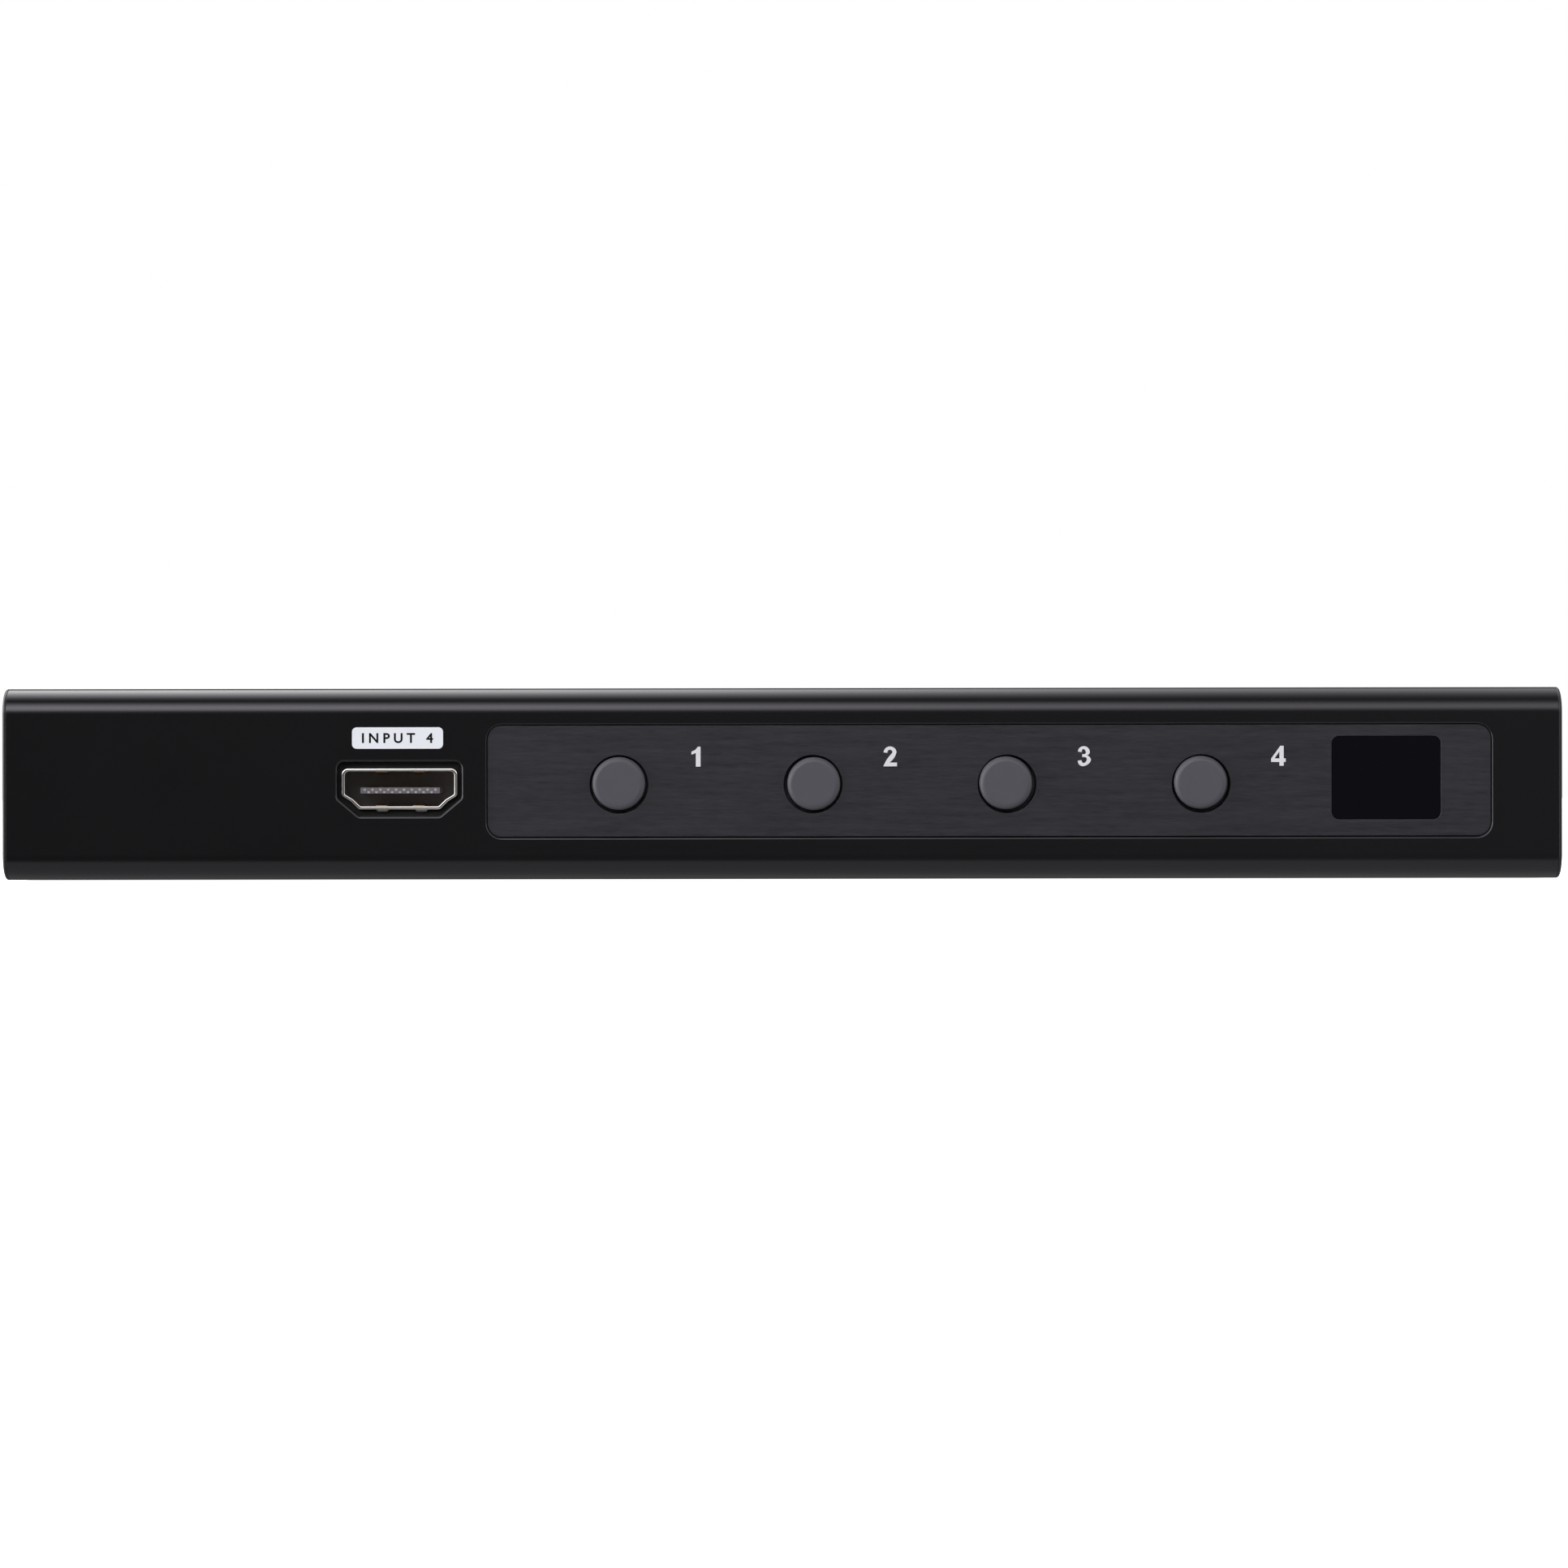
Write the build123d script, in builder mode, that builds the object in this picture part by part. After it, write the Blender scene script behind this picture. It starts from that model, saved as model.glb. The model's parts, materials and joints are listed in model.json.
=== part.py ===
from build123d import *
import os

# A four-input video switch box in a rolled sheet-steel case, in millimetres.
# +Z is up, the front faces -Y, and the origin is the centre of the underside of the case.

# Case
case_width = 200.0
case_depth = 75.0
case_wall = 1.2
roll_radius = 3.3
end_strip = 0.45
end_strip_round = 0.35
cap_plate = 1.6
rear_corner = 0.8
rear_setback = 1.0
sheet_gap = 0.05
fit_gap = 0.15
overrun = 6.0

# Rear panel
panel_sheet = 1.0
panel_bend = 1.5
panel_flange = 8.0
panel_collar_radius = 2.2
panel_collar_height = 1.2
panel_screw_inset = 4.0

# Vent slots in the underside
vent_length = 16.0
vent_width = 1.8
vent_pitch = 4.0
vent_count = 10
vent_bank_share = 0.4

# Case screws, countersunk
screw_radius = 1.25
screw_head_radius = 2.25
screw_length = 5.0
screw_sink = 0.05
screw_gap = 0.03
screw_clearance = 0.15
countersink_angle = 90.0
recess_length = 2.4
recess_width = 0.5
recess_depth = 0.6
boss_length = 6.0
boss_width = 7.0
boss_height = 5.0
boss_bore_depth = 4.5

# Main board and what carries it
standoff_height = 6.2
standoff_radius = 3.0
standoff_stub_radius = 2.1
standoff_bore_depth = 5.0
board_thickness = 1.6
board_front_inset = 4.9
board_tab_inset = 1.9
board_rear_gap = 0.5
board_side_gap = 3.5
board_corner = 1.0
board_screw_radius = 1.5
board_screw_clearance = 0.15
board_screw_head_radius = 2.8
board_screw_head_height = 1.9
board_screw_head_round = 0.8
board_screw_length = 5.5
board_screw_side_inset = 13.0
board_screw_front_inset = 5.6
board_screw_rear_inset = 23.5
board_screw_port_gap = 4.0
leg_gap = 0.15

# Video sockets: outer size of the metal shell and what is inside it
port_width = 14.9
port_height = 5.33
port_wall = 0.35
port_depth = 11.9
port_stand = 0.04
port_top_corner = 0.9
port_low_corner = 0.6
port_outline_shares = ((1.0, 1.0), (1.0, 0.33), (0.84, 0.195), (0.7, 0.0))
cavity_depth = 8.0
tongue_rise = 2.44
tongue_width = 10.2
tongue_thickness = 0.75
tongue_setback = 1.0
contact_pitch = 1.0
contact_width = 0.4
contact_thickness = 0.12
contact_proud = 0.03
contact_setback = 0.08
contact_tail = 0.5
contact_foot = 0.8
upper_contacts = 10
lower_contacts = 9
shell_leg_width = 1.2
shell_leg_reach = 0.6
shell_leg_depths = (3.6, 9.2)
finger_offset = 2.4
finger_width = 1.5
finger_slot_gap = 0.3
finger_sheet = 0.2
finger_tip_depth = 1.3
finger_root_depth = 6.8
finger_dip = 0.45
finger_curl = 0.3
finger_curl_length = 0.5
finger_root_overlap = 0.3

# Openings for the sockets
opening_side_gap = 0.5
opening_rise_gap = 0.78
opening_lip = 0.4
opening_outline_shares = ((1.0, 1.0), (1.0, 0.34), (0.65, 0.0))
rear_opening_gap = 0.3
front_port_setback = 0.4
rear_port_proud = 0.5
rear_port_shares = (-0.72, -0.45, -0.18, 0.12)

# Front plate, set from the right-hand end of the case
plate_end_margin = 9.28
plate_right_margin = 13.28
plate_left_margin = 16.71
plate_top_margin = 4.96
plate_bottom_margin = 5.64
plate_thickness = 0.5
plate_sink = 0.3
plate_corner = 1.75
plate_gap = 0.22
window_lip = 0.28
glue_thickness = 0.1
glue_inset = 0.3
port_to_plate = 11.44

# Front bezel
bezel_sheet = 1.5
bezel_side_margin = 1.3
bezel_edge_gap = 0.15
bezel_corner = 1.5
bezel_pad_gap = 0.3
tape_thickness = 0.15

# Buttons and their switches
button_count = 4
button_pitch = 24.89
switch_axis_height = 3.2
cap_radius = 3.4
cap_gap = 0.35
cap_guide_gap = 0.3
cap_proud = 0.9
cap_round = 0.7
cap_flange_width = 1.1
cap_flange_thickness = 0.8
cap_flange_gap = 0.1
cap_boss_radius = 1.2
cap_boss_length = 0.4
cap_offset_shares = ((0.0, 0.45), (0.3, 0.3), (-0.6, 0.5), (-0.35, 0.6))
button_travel = 0.4
switch_stand_off = 1.95
switch_width = 6.0
switch_height = 6.2
switch_depth = 3.5
switch_corner = 0.4
switch_face = 0.5
switch_chamber_radius = 2.4
chamber_room = 0.25
plunger_radius = 1.7
plunger_gap = 0.15
plunger_collar_radius = 2.2
plunger_collar = 0.3
plunger_collar_gap = 0.05
dome_radius = 2.2
dome_sheet = 0.1

# Printed numbers and their light guides
number_step = 9.89
number_rise = 3.56
number_height = 2.55
print_thickness = 0.04
guide_width = 4.4
guide_height = 3.7
guide_gap = 0.1
guide_rim = 0.5
guide_rim_thickness = 0.8
guide_depth = 5.6
guide_column_depth = 2.4
light_width = 2.0
light_depth = 1.25
light_height = 0.8
light_gap = 0.2

# White label over the front port
label_width = 11.66
label_height = 2.75
label_corner = 0.6
label_rise = 2.46
label_shift = -0.2

# Infrared window and receiver
number_to_window = 13.83
window_rise = 0.75
window_width = 14.0
window_height = 10.7
window_corner = 1.0
window_gap = 0.06
window_sink = 0.1
window_rim = 0.9
window_rim_thickness = 0.8
receiver_width = 5.0
receiver_depth = 3.0
receiver_height = 7.0
receiver_lens_radius = 1.5
receiver_lens_height = 4.0
receiver_gap = 2.0

# Chips and small parts, placed as shares of the half width and half depth of the case
switch_chip_share = (-0.08, -0.08)
switch_chip_size = 14.0
switch_chip_height = 1.0
chip_chamfer = 0.3
chip_dot_radius = 0.5
chip_dot_depth = 0.1
chip_dot_inset = 1.2
pad_thickness = 0.5
sink_size = 20.0
sink_base = 1.5
sink_height = 8.0
sink_fins = 7
sink_fin = 0.9
controller_share = (0.42, -0.2)
controller_size = 10.0
controller_height = 1.0
equaliser_size = 5.0
equaliser_height = 0.9
equaliser_step = 6.6
crystal_shares = ((0.14, -0.1), (0.55, -0.2))
crystal_length = 11.4
crystal_width = 4.7
crystal_height = 3.5
crystal_round = 0.5
inductor_share = (0.66, 0.2)
inductor_size = 8.0
inductor_height = 4.0
inductor_corner = 1.6
capacitor_shares = ((0.56, 0.16), (0.66, -0.08), (0.88, 0.0))
capacitor_radius = 3.15
capacitor_height = 7.7
capacitor_base = 6.6
capacitor_base_height = 0.9
capacitor_base_chamfer = 1.2
capacitor_groove = 0.3
capacitor_round = 0.5
regulator_shares = ((0.78, -0.1), (0.78, 0.2))
regulator_width = 6.5
regulator_depth = 3.5
regulator_height = 1.6
regulator_tab_width = 3.0
regulator_tab_length = 1.8
regulator_tab_thickness = 0.3
small_part_length = 1.6
small_part_width = 0.8
small_part_height = 0.8
small_part_pitch = 2.2
small_parts_in_row = 5
small_part_row_gap = 2.0

# Power inlet
inlet_share = 0.82
inlet_width = 9.0
inlet_height = 11.0
inlet_depth = 13.0
inlet_corner = 0.5
inlet_axis_height = 6.5
inlet_nose_radius = 4.0
inlet_nose_proud = 0.3
inlet_nose_gap = 0.2
inlet_panel_gap = 0.1
inlet_bore_radius = 3.15
inlet_bore_depth = 9.5
inlet_mouth_chamfer = 0.4
inlet_pin_radius = 1.05
inlet_pin_setback = 1.0
inlet_pin_round = 0.5
inlet_root_radius = 1.4
inlet_root_length = 3.0
leaf_width = 1.6
leaf_sheet = 0.2
leaf_slot_gap = 0.15
leaf_slot_depth = 0.7
leaf_reach = 0.35
leaf_tip_depth = 2.6
leaf_peak_depth = 4.2
leaf_bend_depth = 6.4
leaf_root_length = 2.0

# Serial port
serial_share = 0.47
serial_width = 16.33
serial_height = 7.9
serial_outline_shares = ((1.0, 1.0), (0.83, 0.0))
serial_corner = 2.2
serial_wall = 0.4
serial_length = 5.9
serial_flange_width = 30.8
serial_flange_height = 12.5
serial_flange_sheet = 0.8
serial_flange_corner = 1.2
serial_stand = 0.15
serial_headroom = 1.75
serial_opening_gap = 0.4
serial_face_setback = 0.15
serial_block_width = 19.2
serial_block_rise = 4.6
serial_block_depth = 9.0
serial_pin_pitch = 2.77
serial_row_gap = 2.84
serial_upper_pins = 5
serial_lower_pins = 4
serial_barrel_radius = 0.75
serial_barrel_bore = 0.5
serial_barrel_length = 10.0
serial_bore_depth = 6.0
serial_tail = 0.6
serial_lower_reach = 0.8
serial_upper_reach = 3.3
serial_tail_below = 0.8
jack_spacing = 24.99
jack_across_flats = 4.75
jack_length = 4.8
jack_stud_radius = 1.4
jack_stud_gap = 0.1
jack_thread_radius = 1.2
jack_thread_depth = 4.0
jack_chamfer = 0.4
nut_radius = 2.6
nut_length = 2.5

# Number outlines, as shares of the number's height from its lower left corner
one_shares = ((0.22, 0.0), (0.456, 0.0), (0.456, 1.0), (0.325, 1.0), (0.2, 0.845), (0.0, 0.75),
              (0.0, 0.6), (0.22, 0.69))
four_shares = ((0.42, 0.0), (0.635, 0.0), (0.635, 0.19), (0.735, 0.19), (0.735, 0.37),
               (0.635, 0.37), (0.635, 1.0), (0.465, 1.0), (0.0, 0.36), (0.0, 0.19), (0.42, 0.19))
four_counter_shares = ((0.42, 0.37), (0.42, 0.72), (0.175, 0.37))
two_bowl_shares = ((0.015, 0.7), (0.34, 1.0), (0.67, 0.71))
two_back_shares = ((0.67, 0.71), (0.56, 0.45), (0.31, 0.19))
two_foot_shares = ((0.31, 0.19), (0.69, 0.19), (0.69, 0.0), (0.0, 0.0))
two_front_shares = ((0.0, 0.0), (0.15, 0.29), (0.46, 0.69))
two_inner_shares = ((0.46, 0.69), (0.34, 0.835), (0.21, 0.68))
three_top_shares = ((0.01, 0.735), (0.31, 1.0), (0.61, 0.73))
three_waist_shares = ((0.61, 0.73), (0.57, 0.6), (0.47, 0.535))
three_bottom_shares = ((0.47, 0.535), (0.66, 0.29), (0.32, 0.0), (0.0, 0.27))
three_inner_shares = ((0.19, 0.3), (0.32, 0.155), (0.455, 0.3), (0.23, 0.445))
three_throat_shares = ((0.23, 0.6), (0.41, 0.725), (0.31, 0.85), (0.2, 0.7))

# Levels
board_bottom = case_wall + standoff_height
board_top = board_bottom + board_thickness
case_height = board_top + serial_stand + serial_flange_height + serial_headroom + case_wall
port_centre = board_top + port_stand + port_height / 2
port_inner_top = port_stand + port_height - port_wall
port_inner_bottom = port_stand + port_wall
button_z = board_top + switch_axis_height
number_z = button_z + number_rise
window_z = button_z + window_rise
serial_axis = serial_stand + serial_flange_height / 2

# Depths, from the front of the case to the rear
front_y = -case_depth / 2
rear_y = case_depth / 2
inner_front = front_y + case_wall
plate_face = front_y + plate_sink
plate_back = plate_face + plate_thickness
bezel_face = plate_back + glue_thickness
bezel_shoulder = inner_front + tape_thickness
bezel_back = bezel_shoulder + bezel_sheet
cap_face = plate_face - cap_proud
cap_flange_face = bezel_back + cap_flange_gap
cap_flange_back = cap_flange_face + cap_flange_thickness
plunger_tip = cap_flange_back + cap_boss_length
switch_face_y = plunger_tip + switch_stand_off
guide_back = plate_back + guide_depth
panel_face = rear_y - rear_setback
panel_inner = panel_face - panel_sheet
board_front = front_y + board_front_inset
board_tab_front = front_y + board_tab_inset
board_rear = panel_inner - board_rear_gap

# Places along the width
wrap_length = case_width - 2 * end_strip
half_room = wrap_length / 2 - cap_plate
board_half = half_room - board_side_gap
number_to_plate_end = number_to_window + plate_right_margin
plate_right = case_width / 2 - plate_end_margin
first_button_x = plate_right - number_to_plate_end - number_step - (button_count - 1) * button_pitch
plate_left = first_button_x - plate_left_margin
plate_width = plate_right - plate_left
plate_x = (plate_left + plate_right) / 2
plate_height = case_height - plate_top_margin - plate_bottom_margin
plate_z = plate_bottom_margin + plate_height / 2
button_places = [first_button_x + i * button_pitch for i in range(button_count)]
number_places = [x + number_step for x in button_places]
window_x = number_places[-1] + number_to_window
front_port_x = plate_left - port_to_plate
rear_port_places = [share * case_width / 2 for share in rear_port_shares]
serial_x = serial_share * case_width / 2
inlet_x = inlet_share * case_width / 2
boss_y = rear_y - panel_flange - boss_width
panel_screw_x = serial_x
board_screw_x = case_width / 2 - board_screw_side_inset
board_screw_front_y = board_front + board_screw_front_inset
board_screw_rear_y = rear_y - board_screw_rear_inset
board_screw_places = [
    (front_port_x + port_width / 2 + board_screw_port_gap, board_screw_front_y),
    (board_screw_x, board_screw_front_y),
    (-board_screw_x, board_screw_rear_y),
    (board_screw_x, board_screw_rear_y),
]
case_screw_places = [
    (side * (half_room - boss_length / 2), end * boss_y) for side in (-1, 1) for end in (-1, 1)
] + [(side * panel_screw_x, panel_inner - panel_screw_inset) for side in (-1, 1)]


def mouth_at(facing, x, y):
    """Plane at the mouth of a socket, on the level of the board: local x across, y up, z outward."""
    return Plane(origin=(x, y, board_top), x_dir=facing.x_dir, z_dir=facing.z_dir)


def side_of(mouth, across):
    """Plane seen from the side of a socket: local x goes inward from the mouth and y goes up."""
    return Plane(origin=mouth.from_local_coords((across, 0, 0)), x_dir=-mouth.z_dir, z_dir=mouth.x_dir)


def level_of(mouth, rise):
    """Level plane of a socket at height rise over the board: local y goes inward from the mouth."""
    return Plane(origin=mouth.from_local_coords((0, rise, 0)), x_dir=mouth.x_dir, z_dir=mouth.y_dir)


def save(piece, name):
    """Label a finished piece and write it."""
    piece.part.label = name
    export_step(piece.part, f"parts/{name}.step")


def outline(width, height, bottom, shares, top_corner, low_corner):
    """Face that is symmetric about local x = 0; shares are of the half width and the height."""
    right = [(across * width / 2, bottom + up * height) for across, up in shares]
    left = [(-x, y) for x, y in reversed(right)]
    with BuildSketch() as face:
        with BuildLine():
            Polyline(*right, *left, close=True)
        make_face()
        rows = face.vertices().group_by(Axis.Y)
        fillet(rows[-1], top_corner)
        low = [v for row in face.vertices().group_by(Axis.Y)[:-2] for v in row]
        fillet(low, low_corner)
    return face.sketch


def grown(face, amount):
    """The same outline moved outward by amount, or inward where it is negative."""
    with BuildSketch() as moved:
        offset(face, amount=amount, mode=Mode.ADD)
    return moved.sketch


def port_face():
    """Outer outline of a video socket's shell, standing on the board."""
    return outline(port_width, port_height, port_stand, port_outline_shares, port_top_corner,
                   port_low_corner)


def serial_face():
    """Outer outline of the serial port's shell, centred on the port's axis over the board."""
    return outline(serial_width, serial_height, serial_axis - serial_height / 2,
                   serial_outline_shares, serial_corner, serial_corner)


def make_case_wrap():
    """Top, front and underside in one rolled sheet, open at the rear and at both ends."""
    port_opening = outline(port_width + 2 * opening_side_gap, port_height + 2 * opening_rise_gap,
                           port_centre - port_height / 2 - opening_rise_gap,
                           opening_outline_shares, port_top_corner, port_low_corner)
    with BuildPart() as case_wrap:
        with BuildSketch(Plane.YZ.offset(-wrap_length / 2)) as section:
            with Locations((0, case_height / 2)):
                Rectangle(case_depth, case_height)
            fillet(section.vertices().group_by(Axis.X)[0], roll_radius)
            with Locations(((inner_front + rear_y + overrun) / 2, case_height / 2)):
                RectangleRounded(rear_y + overrun - inner_front, case_height - 2 * case_wall,
                                 roll_radius - case_wall, mode=Mode.SUBTRACT)
        extrude(amount=wrap_length)
        with BuildSketch(Plane.front.offset(-front_y)):
            with Locations((plate_x, plate_z)):
                RectangleRounded(plate_width + 2 * plate_gap, plate_height + 2 * plate_gap,
                                 plate_corner + plate_gap)
            with Locations((front_port_x, 0)):
                add(port_opening)
        extrude(amount=-overrun, mode=Mode.SUBTRACT)
        skin = case_wrap.faces().sort_by(Axis.Y)[0]
        by_length = skin.inner_wires().sort_by(SortBy.LENGTH)
        fillet(by_length[0].edges(), opening_lip)
        skin = case_wrap.faces().sort_by(Axis.Y)[0]
        by_length = skin.inner_wires().sort_by(SortBy.LENGTH)
        fillet(by_length[-1].edges(), window_lip)
        with Locations(Plane.bottom):
            with Locations(*[(x, -y) for x, y in case_screw_places]):
                CounterSinkHole(radius=screw_radius + screw_clearance,
                                counter_sink_radius=screw_head_radius + screw_sink + screw_gap,
                                depth=overrun, counter_sink_angle=countersink_angle)
        with Locations(*[(x, y, case_wall) for x, y in board_screw_places]):
            Hole(radius=standoff_stub_radius + screw_gap, depth=case_wall)
        with BuildSketch():
            for side in (-1, 1):
                with Locations((side * vent_bank_share * case_width / 2, 0)):
                    with GridLocations(vent_pitch, vent_pitch, vent_count, 1):
                        SlotOverall(vent_length, vent_width, rotation=90)
        extrude(amount=case_wall, mode=Mode.SUBTRACT)
    save(case_wrap, "case_wrap")


def make_rear_panel():
    """Flanged sheet that closes the rear, cut for the sockets."""
    bottom = case_wall + sheet_gap
    height = case_height - 2 * bottom
    with BuildPart() as rear_panel:
        with BuildSketch(Plane.YZ.offset(fit_gap - half_room)) as section:
            with Locations((panel_face - panel_flange / 2, case_height / 2)):
                Rectangle(panel_flange, height)
            fillet(section.vertices().group_by(Axis.X)[-1], panel_bend)
            with Locations((panel_inner - (panel_flange + overrun) / 2, case_height / 2)):
                RectangleRounded(panel_flange + overrun, height - 2 * panel_sheet,
                                 panel_bend - panel_sheet, mode=Mode.SUBTRACT)
        extrude(amount=2 * (half_room - fit_gap))
        with BuildSketch(Plane.back.offset(panel_face)):
            for x in rear_port_places:
                with Locations((-x, board_top)):
                    add(grown(port_face(), rear_opening_gap))
            with Locations((-serial_x, board_top)):
                add(grown(serial_face(), serial_opening_gap))
            with Locations((-serial_x, board_top + serial_axis)):
                with GridLocations(jack_spacing, jack_spacing, 2, 1):
                    Circle(jack_stud_radius + jack_stud_gap)
            with Locations((-inlet_x, board_top + inlet_axis_height)):
                Circle(inlet_nose_radius + inlet_nose_gap)
        extrude(amount=-panel_bend, mode=Mode.SUBTRACT)
        screws = [(side * panel_screw_x, panel_inner - panel_screw_inset) for side in (-1, 1)]
        with Locations(*[(x, y, bottom + panel_sheet) for x, y in screws]):
            Cylinder(panel_collar_radius, panel_collar_height,
                     align=(Align.CENTER, Align.CENTER, Align.MIN))
        with Locations(*[(x, y, bottom + panel_sheet + panel_collar_height) for x, y in screws]):
            Hole(radius=screw_radius + screw_gap, depth=panel_sheet + panel_collar_height)
    save(rear_panel, "rear_panel")


def make_end_caps():
    """Moulded caps: a thin rounded rim outside, and a plate with two screw bosses inside."""
    with BuildPart() as left_end_cap:
        with BuildSketch(Plane.YZ.offset(-wrap_length / 2)) as rim:
            with Locations((0, case_height / 2)):
                Rectangle(case_depth, case_height)
            fillet(rim.vertices().group_by(Axis.X)[0], roll_radius)
            fillet(rim.vertices().group_by(Axis.X)[-1], rear_corner)
        extrude(amount=-end_strip)
        fillet(left_end_cap.faces().sort_by(Axis.X)[0].edges(), end_strip_round)
        with BuildSketch(Plane.YZ.offset(-wrap_length / 2)):
            with Locations(((inner_front + rear_y) / 2, case_height / 2)):
                RectangleRounded(rear_y - inner_front - 2 * fit_gap,
                                 case_height - 2 * case_wall - 2 * fit_gap,
                                 roll_radius - case_wall - fit_gap)
        extrude(amount=cap_plate)
        with BuildSketch(Plane.XY.offset(case_wall + sheet_gap)):
            for end in (-1, 1):
                with Locations((boss_length / 2 - half_room, end * boss_y)):
                    Rectangle(boss_length, boss_width)
        extrude(amount=boss_height)
        bores = [(boss_length / 2 - half_room, end * boss_y) for end in (-1, 1)]
        with Locations(Plane.bottom.offset(-case_wall - sheet_gap)):
            with Locations(*[(x, -y) for x, y in bores]):
                Hole(radius=screw_radius + screw_gap, depth=boss_bore_depth)
    save(left_end_cap, "left_end_cap")
    with BuildPart() as right_end_cap:
        mirror(left_end_cap.part, about=Plane.YZ)
    save(right_end_cap, "right_end_cap")


def cross_recess(length, width, depth):
    """Solid of a cross-shaped driver recess, from the origin down."""
    with BuildPart() as cross:
        with BuildSketch():
            Rectangle(length, width)
            Rectangle(width, length)
        extrude(amount=-depth)
    return cross.part


def make_case_screws():
    """Six countersunk screws, driven from below."""
    cone = screw_head_radius - screw_radius
    with BuildPart() as case_screws:
        with Locations(Plane.bottom.offset(-screw_sink)):
            with Locations(*[(x, -y) for x, y in case_screw_places]):
                Cone(screw_radius, screw_head_radius, cone, align=(Align.CENTER, Align.CENTER, Align.MAX))
                Cylinder(screw_radius, screw_length, align=(Align.CENTER, Align.CENTER, Align.MAX))
                add(cross_recess(recess_length, recess_width, recess_depth), mode=Mode.SUBTRACT)
    save(case_screws, "case_screws")


def make_board_standoffs():
    """Four hexagonal standoffs, each pressed into the underside by its stub."""
    with BuildPart() as board_standoffs:
        with BuildSketch(Plane.XY.offset(case_wall)):
            with Locations(*board_screw_places):
                RegularPolygon(standoff_radius, side_count=6)
        extrude(amount=standoff_height)
        with BuildSketch(Plane.XY.offset(screw_sink)):
            with Locations(*board_screw_places):
                Circle(standoff_stub_radius)
        extrude(amount=case_wall - screw_sink)
        with Locations(*[(x, y, board_bottom) for x, y in board_screw_places]):
            Hole(radius=board_screw_radius + screw_gap, depth=standoff_bore_depth)
    save(board_standoffs, "board_standoffs")


def make_board_screws():
    """Four pan-head screws that hold the board on its standoffs."""
    with BuildPart() as screw:
        Cylinder(board_screw_head_radius, board_screw_head_height,
                 align=(Align.CENTER, Align.CENTER, Align.MIN))
        fillet(screw.edges().sort_by(Axis.Z)[-1], board_screw_head_round)
        Cylinder(board_screw_radius, board_screw_length, align=(Align.CENTER, Align.CENTER, Align.MAX))
        with Locations((0, 0, board_screw_head_height)):
            add(cross_recess(recess_length, recess_width, recess_depth), mode=Mode.SUBTRACT)
    with BuildPart() as board_screws:
        with Locations(*[(x, y, board_top) for x, y in board_screw_places]):
            add(screw.part)
    save(board_screws, "board_screws")


def make_front_plate():
    """Thin brushed plate in the window of the wrap, cut for the caps and the infrared window."""
    with BuildPart() as front_plate:
        with BuildSketch(Plane.front.offset(-plate_back)):
            with Locations((plate_x, plate_z)):
                RectangleRounded(plate_width, plate_height, plate_corner)
            with Locations(*[(x, button_z) for x in button_places]):
                Circle(cap_radius + cap_gap, mode=Mode.SUBTRACT)
            with Locations((window_x, window_z)):
                RectangleRounded(window_width, window_height, window_corner, mode=Mode.SUBTRACT)
        extrude(amount=plate_thickness)
    save(front_plate, "front_plate")
    with BuildPart() as plate_adhesive:
        with BuildSketch(Plane.front.offset(-bezel_face)):
            with Locations((plate_x, plate_z)):
                RectangleRounded(plate_width - 2 * glue_inset, plate_height - 2 * glue_inset,
                                 plate_corner - glue_inset)
            with Locations(*[(x, button_z) for x in button_places]):
                Circle(cap_radius + cap_gap + glue_inset, mode=Mode.SUBTRACT)
            with Locations(*[(x, number_z) for x in number_places]):
                Rectangle(guide_width + 2 * glue_inset, guide_height + 2 * glue_inset, mode=Mode.SUBTRACT)
            with Locations((window_x, window_z)):
                RectangleRounded(window_width + 2 * glue_inset, window_height + 2 * glue_inset,
                                 window_corner, mode=Mode.SUBTRACT)
        extrude(amount=glue_thickness)
    save(plate_adhesive, "plate_adhesive")


def bezel_rim():
    """Face of the bezel's flange, which stays on the flat of the front wall."""
    flat_height = case_height - 2 * roll_radius - 2 * bezel_edge_gap
    with BuildSketch() as rim:
        with Locations((plate_x, case_height / 2)):
            RectangleRounded(plate_width + 2 * (plate_gap + bezel_side_margin), flat_height, bezel_corner)
    return rim.sketch


def make_front_bezel():
    """Moulded carrier behind the wrap: a pad fills the window and its flange is taped to the wall."""
    pad_gap = bezel_pad_gap - plate_gap
    with BuildPart() as front_bezel:
        with BuildSketch(Plane.front.offset(-bezel_back)):
            add(bezel_rim())
        extrude(amount=bezel_sheet)
        with BuildSketch(Plane.front.offset(-bezel_shoulder)):
            with Locations((plate_x, plate_z)):
                RectangleRounded(plate_width - 2 * pad_gap, plate_height - 2 * pad_gap,
                                 plate_corner - pad_gap)
        extrude(amount=bezel_shoulder - bezel_face)
        with BuildSketch(Plane.front.offset(-bezel_back)):
            with Locations(*[(x, button_z) for x in button_places]):
                Circle(cap_radius + cap_guide_gap)
            with Locations(*[(x, number_z) for x in number_places]):
                Rectangle(guide_width + 2 * guide_gap, guide_height + 2 * guide_gap)
            with Locations((window_x, window_z)):
                RectangleRounded(window_width, window_height, window_corner)
        extrude(amount=bezel_back - bezel_face, mode=Mode.SUBTRACT)
    save(front_bezel, "front_bezel")
    with BuildPart() as bezel_tape:
        with BuildSketch(Plane.front.offset(-bezel_shoulder)):
            add(bezel_rim())
            with Locations((plate_x, plate_z)):
                RectangleRounded(plate_width + 2 * plate_gap, plate_height + 2 * plate_gap,
                                 plate_corner + plate_gap, mode=Mode.SUBTRACT)
        extrude(amount=tape_thickness)
    save(bezel_tape, "bezel_tape")


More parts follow.
